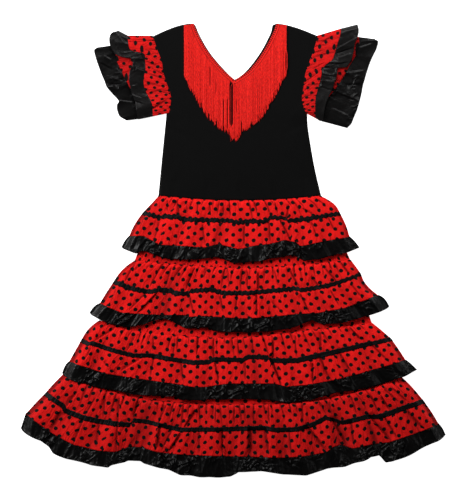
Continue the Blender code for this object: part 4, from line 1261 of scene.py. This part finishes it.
def sleeve_plan(side, inner, outer, u, v, inner_gap, outer_gap):
    """Where a sleeve piece's points lie, u outwards from its seam and v down from the shoulder."""
    ax, ay = curve([draft([row[inner]])[0] for row in SLEEVE_DRAFT[side]], v)
    bx, by = curve([draft([row[outer]])[0] for row in SLEEVE_DRAFT[side]], v)
    reach = np.hypot(bx - ax, by - ay)
    share = mix(inner_gap * MM / reach, 1 - outer_gap * MM / reach, u)
    return mix(ax, bx, share), mix(ay, by, share)


def sleeve_set(side, tier, number):
    """The steady set of one kind of marks along one tier of a sleeve."""
    return SLEEVE_SETS[side] + SLEEVE_TIERS[tier]["set"] + number


def sleeve_folds(side, v, shift=0.0):
    """The wide folds along a sleeve, from 0 to 1."""
    places, heights = fold_columns(SLEEVE_FOLDS, FOLD_SETS[side])
    return softened(np.interp((v[0] + shift) % 1.0, places, heights), 3)[None]


print("troughs at the left armhole:", len(gather_marks(SLEEVE_LENGTH, 9 * MM, sleeve_set("left", "upper", 0))))

# %% How high a sleeve's cloth stands
def red_height(side, tier, u, v):
    """The underside of a red tier: puffed in its middle and drawn in by both its seams."""
    form = SLEEVE_TIERS[tier]
    z = form["base"] + form["rise"] * u + form["swell"] * sleeve_folds(side, v) * u * u
    seam = troughs(SLEEVE_LENGTH, 9 * MM, sleeve_set(side, tier, 0), v, u * 1.1, 1.2 * MM, 2.4 * MM)
    hem = troughs(SLEEVE_LENGTH, 8 * MM, sleeve_set(side, tier, 1), v, (1 - u) * 1.6, 1.2 * MM, 2.0 * MM)
    fine = troughs(SLEEVE_LENGTH, 5.5 * MM, sleeve_set(side, tier, 6), v, np.abs(u - 0.45) * 1.3, 0.8 * MM, 1.2 * MM)
    puff = 1.3 * np.sin(math.pi * np.clip(u, 0, 1)) ** 0.7
    return z + (puff - 0.9 * fine - 1.9 * seam * smooth(u / 0.06) - 1.0 * hem * smooth((1 - u) / 0.05)) * MM


def black_height(side, tier, u, v):
    """The underside of a ruffle, which leaves the red tier's hem and spreads in folds of its own."""
    form = SLEEVE_TIERS[tier]
    hem = form["base"] + form["rise"] + form["swell"] * sleeve_folds(side, v)
    spread = form["frill"] * sleeve_folds(side, v, 0.4) * u * u
    crest = ridges(SLEEVE_LENGTH, 21 * MM, sleeve_set(side, tier, 2), v, u, 3.2 * MM)
    fine = troughs(SLEEVE_LENGTH, 7 * MM, sleeve_set(side, tier, 3), v, u * 2.2, 1.2 * MM, 1.8 * MM)
    return hem - 0.5 * MM * (1 - u) + spread + (0.9 * crest - 0.4 * fine) * form["calm"] * MM


halfway = np.array([[0.5]])
middle = red_height("left", "upper", halfway, halfway)
print("the left sleeve's middle is", round(float(middle[0, 0]) / MM, 1), "mm up")

# %% A sleeve's front and back
SLEEVE_ROWS = np.linspace(0, 1, 22)[:, None]
SLEEVE_COLUMNS, SLEEVE_BACK_COLUMNS = 150, 40
ARMHOLE_GAP = 0.4
BACK_RUFFLE_TUCK = -BACK_INSET - 1.5


def sleeve_ends(tier, ruffle):
    """The columns of the draft that a tier or its ruffle runs between."""
    form = SLEEVE_TIERS[tier]
    return (form["hem"], form["edge"]) if ruffle else (0, form["hem"])


def sleeve_front(side, tier, ruffle):
    form = SLEEVE_TIERS[tier]
    u, v = SLEEVE_ROWS, np.linspace(0, 1, SLEEVE_COLUMNS)[None]
    x, y = sleeve_plan(side, *sleeve_ends(tier, ruffle), u, v, RUFFLE_TUCK if ruffle else form["tuck"], 0.0)
    height = (black_height if ruffle else red_height)(side, tier, u, v)
    z = height + form["wall"] - strokes(SLEEVE_CREASES[side], x, y) * form["shown"]
    ends = smooth(np.minimum(v, 1 - v) / 0.05)
    return np.stack([x, y, mix(form["base"] + form["wall"], z, 0.35 + 0.65 * ends)], axis=2)


def sleeve_back(side, tier, ruffle):
    u, v = SLEEVE_ROWS, np.linspace(0, 1, SLEEVE_BACK_COLUMNS)[None]
    gap = BACK_RUFFLE_TUCK if ruffle else ARMHOLE_GAP
    x, y = sleeve_plan(side, *sleeve_ends(tier, ruffle), u, v, gap, BACK_INSET)
    crease = troughs(SLEEVE_LENGTH, 14 * MM, sleeve_set(side, tier, 5), v, u, 2 * MM, 3 * MM)
    z = SLEEVE_TIERS[tier]["low"] + 0.05 * MM + 0.4 * MM * crease * smooth(u / 0.05)
    return np.stack([x, y, z], axis=2)


print("points in a sleeve tier's front:", len(SLEEVE_ROWS) * SLEEVE_COLUMNS)

# %% Lay the sleeves
SLEEVE_SIDE_OUT = 0.9 * MM
RED_SLACK = (1.35, 1.1)
sleeves = []


def lay_sleeve(side, tier, ruffle):
    front, back = sleeve_front(side, tier, ruffle), sleeve_back(side, tier, ruffle)
    if side == "right":
        front, back = front[:, ::-1], back[:, ::-1]
    run, slid = edge_lengths(front[-1]), lean(front)[-1]
    across = run[None] * (1 - (slid[-1] - slid[0]) / run[-1])
    name = f"sleeve_{side}_{tier}" + ("_ruffle" if ruffle else "")
    return lay_tube(name, front, back, across, out=-SLEEVE_SIDE_OUT if side == "left" else SLEEVE_SIDE_OUT,
                    axis=1, sunk=SLEEVE_SHADE[(side, tier)], slack=(1.0, 1.0) if ruffle else RED_SLACK)


for side in ("left", "right"):
    for tier in ("upper", "lower"):
        for ruffle in (False, True):
            sleeves.append(lay_sleeve(side, tier, ruffle))
            piece, width, length = sleeves[-1]
            print(piece.name, "cut", round(width, 3), "x", round(length, 3), "m")

# %% [markdown]
# ## Shader maths
# A pattern such as polka dots is plain arithmetic on a fabric's own coordinates. To write that arithmetic as
# Python, `Term` wraps a socket, so `a * 2 + b` adds its Math nodes, and `Recipe.node` adds any other node from
# its type, its settings and the values of its sockets.

# %% Sockets that can be added up
class Term:
    def __init__(self, recipe, socket):
        self.recipe, self.socket = recipe, socket

    def maths(self, operation, *others):
        return self.recipe.node("ShaderNodeMath", {"operation": operation}, [self, *others])

    def __add__(self, other):
        return self.maths("ADD", other)

    def __mul__(self, other):
        return self.maths("MULTIPLY", other)

    def __sub__(self, other):
        return self.maths("SUBTRACT", other)

    def __truediv__(self, other):
        return self.maths("DIVIDE", other)

    def __rsub__(self, other):
        return self.recipe.node("ShaderNodeMath", {"operation": "SUBTRACT"}, [other, self])

    __radd__, __rmul__ = __add__, __mul__

    def sine(self):
        return self.maths("SINE")

    def fraction(self):
        return self.maths("FRACT")

    def whole(self):
        return self.maths("FLOOR")

    def lesser(self, other):
        return self.maths("MINIMUM", other)

    def size(self):
        return self.maths("ABSOLUTE")

    def root(self):
        return self.maths("SQRT")


print("operations of a term:", [name for name in vars(Term) if not name.startswith("_")])

# %% A material as a recipe
class Recipe:
    """One material, and short ways to add to it."""

    def __init__(self, name):
        self.material = bpy.data.materials.new(name)
        self.material.use_nodes = True
        self.tree = self.material.node_tree
        self.shader = self.tree.nodes["Principled BSDF"]

    def node(self, kind, settings=None, inputs=(), output=0):
        """Add a node: its type, its settings, then its sockets' values or links."""
        new = self.tree.nodes.new(kind)
        for key, value in (settings or {}).items():
            setattr(new, key, value)
        pairs = inputs.items() if isinstance(inputs, dict) else enumerate(inputs)
        for key, value in pairs:
            self.put(new.inputs[key], value)
        return Term(self, new.outputs[output])

    def put(self, socket, value):
        if isinstance(value, Term):
            self.tree.links.new(value.socket, socket)
        else:
            socket.default_value = value

    def cloth(self):
        """Distances across and down the cloth, in millimetres, from the piece's own UV map."""
        place = self.node("ShaderNodeUVMap", {"uv_map": "UVMap"})
        across = self.node("ShaderNodeSeparateXYZ", {}, [place], 0)
        down = self.node("ShaderNodeSeparateXYZ", {}, [place], 1)
        return across / MM, down / MM

    def speckle(self, x, y, detail=2.0, rough=0.5):
        """Noise from 0 to 1 over two lengths given in the noise's own cells."""
        spot = self.node("ShaderNodeCombineXYZ", {}, [x, y, 0.0])
        return self.node("ShaderNodeTexNoise", {}, {"Vector": spot, "Scale": 1.0, "Detail": detail,
                                                    "Roughness": rough})

    def mixed(self, amount, a, b):
        """A colour between a and b."""
        return self.node("ShaderNodeMix", {"data_type": "RGBA"}, {0: amount, 6: a, 7: b}, 2)

    def between(self, value, low, high):
        """0 where value is low, 1 where it is high."""
        return self.node("ShaderNodeMapRange", {"interpolation_type": "SMOOTHSTEP"},
                         {0: value, 1: low, 2: high, 3: 0.0, 4: 1.0})

    def relief(self, height):
        """Bump whose height is in millimetres."""
        bump = self.node("ShaderNodeBump", {}, {"Strength": 1.0, "Distance": MM, "Height": height})
        self.put(self.shader.inputs["Normal"], bump)

    def finish(self, colour, roughness, **constants):
        self.put(self.shader.inputs["Base Color"], colour)
        self.put(self.shader.inputs["Roughness"], roughness)
        for name, value in constants.items():
            self.shader.inputs[name.replace("_", " ")].default_value = value
        return self.material


print("a recipe can add:", [name for name in vars(Recipe) if not name.startswith("_")])

# %% [markdown]
# ## Red cotton with black dots
# The dots are printed on the flat cloth in a staggered lattice, 24.8 mm across and 17.5 mm down, each dot 7.9 mm
# wide and 6.7 mm high before the folds narrow it. Two lattices, one set half a step off the other, make the
# stagger: the nearer centre of the two gives the distance, and the distance gives the dot. The weave is a fine
# bump, and slack cloth also carries small wrinkles. The shade that was written on the mesh, in its hollows, its
# deep folds and wherever less light falls, is painted into the red as a darker colour.

# %% Dotted cotton
DOT_ACROSS, DOT_DOWN = 24.8, 17.5
DOT_RADIUS, DOT_SOFT = 3.95, 0.25
DOT_FLATTENED = 1.18
THREAD = 0.62  # from one thread to the next but one, in millimetres


def lattice(x, y, shift):
    """The distance to the nearest centre of a lattice of dots, set off by this share of a step."""
    dx = ((x / DOT_ACROSS + shift).fraction() - 0.5) * DOT_ACROSS
    dy = ((y / DOT_DOWN + shift).fraction() - 0.5) * (DOT_DOWN * DOT_FLATTENED)
    return (dx * dx + dy * dy).root()


def dotted_cotton():
    recipe = Recipe("dotted_cotton")
    across, down = recipe.cloth()
    # the print: rows of dots that wander a little, on red of an uneven tone, with painted shade that darkens the red
    # in the hollows
    wander = recipe.speckle(across / 40, down / 40, 1.0)
    x = across + (wander - 0.5) * 3.0
    far = lattice(x, down, 0.0).lesser(lattice(x, down, 0.5))
    printed = 1 - recipe.between(far, DOT_RADIUS - DOT_SOFT, DOT_RADIUS + DOT_SOFT)
    tone = recipe.speckle(across / 22, down / 30, 3.0)
    red = recipe.mixed(tone, (0.66, 0.0050, 0.0045, 1), (0.86, 0.0085, 0.0070, 1))
    # painted shade: the mesh's hollow attribute turns the red towards this dark red, in hollows, deep folds and less
    # lit places
    hollow = recipe.node("ShaderNodeAttribute", {"attribute_name": "hollow"}, [], 2)
    red = recipe.mixed(hollow * 0.85, red, (0.14, 0.0008, 0.0010, 1))
    colour = recipe.mixed(printed, red, (0.0018, 0.0012, 0.0012, 1))
    # the relief: the weave, slack wrinkles that sway, and a few sharp creases
    weave = (across * (2 * math.pi / THREAD)).sine() * (down * (2 * math.pi / THREAD)).sine()
    sway = recipe.speckle(across / 30, down / 30, 1.0) * 26
    creased = recipe.speckle((across + sway) / 6.5, (down - sway) / 16, 2.5, 0.5)
    sharp = 1 - ((recipe.speckle((across - sway) / 13, (down + sway) / 30, 1.5, 0.4) - 0.5) * 2).size()
    recipe.relief(weave * 0.012 + creased * 0.85 + sharp * sharp * sharp * sharp * 0.9)
    return recipe.finish(colour, 0.8, Specular_IOR_Level=0.12)


cotton = dotted_cotton()
print(cotton.name, len(cotton.node_tree.nodes), "nodes")

# %% [markdown]
# ## Black satin, ribbon and jersey
# All three are black, and only their shine tells them apart. Satin shines softly and is crushed in patches, where
# curling wrinkles catch the light between smooth stretches. It gets rougher where it is seen from the side, or a
# ruffle would turn silvery there. The ribbon is ribbed across. Jersey is matte, with fine knitted columns.

# %% Satin
SATIN_GLOSS = (0.33, 0.40)
SIDE_ROUGHNESS = 0.9


def black_satin(name, crush, cell, body):
    """Satin with wrinkles crush high and cell wide, 1 as in the skirt's ruffles, with a black of this body: the
    satin's own on the skirt, raised on the sleeves as painted sheen.
    """
    recipe = Recipe(name)
    across, down = recipe.cloth()
    across, down = across / cell, down / cell
    # lines of wrinkles where the noise crosses its middle, strong only in the crumpled patches
    sway = recipe.speckle(across / 15, down / 15, 1.0) * 30
    crumpled = recipe.between(recipe.speckle(across / 38, down / 50, 1.0, 0.2), 0.42, 0.56)
    wrinkle = 1 - ((recipe.speckle((across + sway) / 16, (down - sway) / 16, 1.0, 0.3) - 0.5) * 3.0).size()
    soft = recipe.speckle((across - sway) / 10, down / 18, 1.0, 0.3)
    recipe.relief((wrinkle * wrinkle * (crumpled * 3.0 + 0.35) + soft * 0.9) * crush)
    tone = recipe.speckle(across / 30, down / 30, 2.0)
    colour = recipe.mixed(tone, (body * 0.6, body * 0.55, body * 0.55, 1), (body * 1.4, body * 1.3, body * 1.3, 1))
    facing = recipe.node("ShaderNodeLayerWeight", {}, {0: 0.5}, 1)
    gloss = recipe.node("ShaderNodeMapRange", {}, {0: tone, 3: SATIN_GLOSS[0], 4: SATIN_GLOSS[1]})
    return recipe.finish(colour, gloss + facing * facing * facing * SIDE_ROUGHNESS, Specular_IOR_Level=0.125)


satin = black_satin("satin", 1.0, 1.0, 0.0018)
# the sleeves' satins are lighter copies of the skirt's black satin: their raised black paints in the soft grey sheen
# of the sleeve ruffles, most on the upper ones
upper_satin = black_satin("upper_sleeve_satin", 0.65, 1.5, 0.0056)
lower_satin = black_satin("lower_sleeve_satin", 0.5, 1.5, 0.0024)
print("satins:", satin.name, upper_satin.name, lower_satin.name)

# %% Ribbon and jersey
RIB, WALE, COURSE = 0.55, 0.7, 0.5


def black_ribbon():
    recipe = Recipe("ribbon")
    across, down = recipe.cloth()
    ribs = (across * (2 * math.pi / RIB)).sine()
    puckers = recipe.speckle(across / 2.6, down / 7, 2.0)
    recipe.relief(ribs * 0.02 + puckers * 0.55)
    tone = recipe.speckle(across / 3.4, down / 4, 1.5)
    colour = recipe.mixed(tone, (0.0007, 0.0007, 0.0007, 1), (0.0040, 0.0040, 0.0042, 1))
    return recipe.finish(colour, 0.5, Specular_IOR_Level=0.08)


def black_jersey():
    recipe = Recipe("jersey")
    across, down = recipe.cloth()
    wales = (across * (2 * math.pi / WALE)).sine().size()
    courses = (down * (2 * math.pi / COURSE)).sine()
    recipe.relief(wales * 0.03 + courses * wales * 0.015)
    tone = recipe.speckle(across / 60, down / 60, 2.0)
    colour = recipe.mixed(tone, (0.0031, 0.0031, 0.0031, 1), (0.0037, 0.0037, 0.0037, 1))
    return recipe.finish(colour, 0.92, Specular_IOR_Level=0.06)


grosgrain, jersey = black_ribbon(), black_jersey()
print("ribs every", RIB, "mm, knitted columns every", WALE, "mm")

# %% [markdown]
# ## Red rayon
# The braid and the cords are the same bright rayon. The yarn is twisted, so fine slanting ribs run round each
# cord, and no two cords took the dye quite alike. The braid also shows its row of stitches.

# %% Rayon
TWIST = 1.7
STITCH = 3.4


def rayon_cord():
    recipe = Recipe("rayon_cord")
    across, down = recipe.cloth()
    number, turned = (across * MM).whole(), (across * MM).fraction()
    twist = (down / TWIST + turned * 2).fraction()
    recipe.relief((twist - 0.5).size() * 0.5)
    dye = recipe.speckle(number * 7.31, down / 4.2, 2.0)
    colour = recipe.mixed(recipe.between(dye, 0.3, 0.7), (0.70, 0.007, 0.005, 1), (1.0, 0.022, 0.014, 1))
    # painted shade: each cord is darkened along its two sides, so dark lines show between the cords
    low = recipe.between((turned - 0.25).size(), 0.10, 0.22)
    colour = recipe.mixed(low * 0.7, colour, (0.24, 0.001, 0.001, 1))
    return recipe.finish(colour, 0.5, Specular_IOR_Level=0.14)


def rayon_braid():
    recipe = Recipe("rayon_braid")
    across, down = recipe.cloth()
    slant = ((down - 4.25).size() * 1.1 + across) / 1.3
    recipe.relief((slant.fraction() - 0.5).size() * 0.7)
    dye = recipe.speckle(across / 3, down / 3, 2.0)
    colour = recipe.mixed(dye, (0.70, 0.008, 0.005, 1), (0.94, 0.018, 0.012, 1))
    stitches = recipe.between((across / STITCH).fraction(), 0.45, 0.6) * (1 - recipe.between(down, 3.6, 4.0))
    seam = recipe.between(down, 5.6, 6.1)
    colour = recipe.mixed((stitches * 0.95 + seam * 0.5).lesser(1.0), colour, (0.07, 0.0008, 0.0008, 1))
    return recipe.finish(colour, 0.5, Specular_IOR_Level=0.14)


rayon, braiding = rayon_cord(), rayon_braid()
print("a stitch every", STITCH, "mm along the braid")

# %% [markdown]
# ## What each piece is
# Every piece rides with the dress and stands for its solids. A gathered tube is one long strip joined into a ring,
# so the cut printed for it is its hem's length by its drop.

# %% Dress the skirt
def dress(piece, material, slot, *nodes):
    piece.data.materials.clear()
    piece.data.materials.append(material)
    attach(piece, "root")
    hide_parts(*nodes)


for tier in TIERS:
    piece, width, length = flounces[tier]
    dress(piece, cotton, "red_dotted_cotton", f"flounce_{tier}_front", f"flounce_{tier}_back")
    dress(ribbons[tier], grosgrain, "black_ribbon", f"ribbon_{tier}_front", f"ribbon_{tier}_back")
    piece, width, length = ruffles[tier]
    dress(piece, satin, "black_satin", f"ruffle_{tier}_front", f"ruffle_{tier}_back")
dress(skirt, cotton, "red_dotted_cotton", "skirt_front", "skirt_back")
print("the skirt's pieces:", 3 * len(TIERS) + 1)

# %% Dress the bodice and the sleeves
dress(bodice, jersey, "black_jersey", "bodice_front", "bodice_back")
dress(braid, braiding, "red_rayon_fringe")
dress(fringe, rayon, "red_rayon_fringe", "neck_fringe")
for piece, width, length in sleeves:
    dark = piece.name.endswith("ruffle")
    sleeve_satin = upper_satin if "upper" in piece.name else lower_satin
    dress(piece, sleeve_satin if dark else cotton, "black_satin" if dark else "red_dotted_cotton",
          f"{piece.name}_front", f"{piece.name}_back")
    (1.0 if dark else 0.8) * width * length
print(len(made), "pieces,", sum(len(piece.data.polygons) for piece in made), "faces before their walls")

# %% [markdown]
# ## Light and camera
# The dress lies on bright white paper. The key lamp stands at the upper left and lights the folds from one side.
# A small lamp above the neck lights the cords, and a weak wide one at the right keeps the shadows open. The
# camera looks straight down from far away with a long lens, so that the dress keeps its plan.

# %% The floor
FLOOR_SIZE = 4.0
FLOOR_Z = -0.4 * MM
bm = bmesh.new()
bmesh.ops.create_grid(bm, x_segments=1, y_segments=1, size=FLOOR_SIZE)
mesh = bpy.data.meshes.new("floor")
bm.to_mesh(mesh)
bm.free()
floor = bpy.data.objects.new("floor", mesh)
floor.location.z = FLOOR_Z
bpy.context.scene.collection.objects.link(floor)
paper = Recipe("floor_paper")
mesh.materials.append(paper.finish((0.93, 0.93, 0.93, 1), 0.9, Specular_IOR_Level=0.0,
                                   Emission_Color=(1, 1, 1, 1), Emission_Strength=1.0))
floor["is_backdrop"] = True
print("floor", round(FLOOR_Z / MM, 1), "mm up")

# %% Lamps
WORLD_STRENGTH = 0.06
LAMPS = {
    # name: place, size in metres, power in watts
    "key": ((-1.9, 0.9, 1.5), 0.9, 52), "top": ((0.1, 1.0, 0.75), 0.7, 9.5), "fill": ((1.9, 0.5, 1.6), 1.4, 8),
}
for name, (place, size, power) in LAMPS.items():
    data = bpy.data.lights.new(name, "AREA")
    data.shape, data.size, data.energy = "DISK", size, power
    thing = bpy.data.objects.new(name, data)
    thing.location = place
    thing.rotation_euler = (-Vector(place)).to_track_quat("-Z", "Y").to_euler()
    bpy.context.scene.collection.objects.link(thing)
world = bpy.data.worlds.new("studio")
bpy.context.scene.world = world
world.use_nodes = True
world.node_tree.nodes["Background"].inputs["Color"].default_value = (1, 1, 1, 1)
world.node_tree.nodes["Background"].inputs["Strength"].default_value = WORLD_STRENGTH
bpy.context.scene.view_settings.view_transform = "Standard"
print("lamps:", ", ".join(LAMPS))

# %% Camera
CAMERA_HEIGHT = 6.0
DRESS_MIDDLE_Z = 8 * MM
lens = bpy.data.cameras.new("camera")
lens.lens = lens.sensor_width * CAMERA_HEIGHT / (PAPER_ROWS * SQUARE)
lens.clip_start, lens.clip_end = 0.1, 50
camera = bpy.data.objects.new("camera", lens)
camera.location = (0.0, (PAPER_MIDDLE[1] - PAPER_ROWS / 2) * SQUARE, CAMERA_HEIGHT + DRESS_MIDDLE_Z)
bpy.context.scene.collection.objects.link(camera)
bpy.context.scene.camera = camera
print("lens:", round(lens.lens), "mm")

# %% Write down the sizes and finish
box = [list(corner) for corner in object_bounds()]
for axis, cad_low, low, high, cad_high in zip("xyz", cad_box[0], box[0], box[1], cad_box[1]):
    print(axis, "solids", round(cad_low * 1000, 1), round(cad_high * 1000, 1),
          "cloth", round(low * 1000, 1), round(high * 1000, 1))
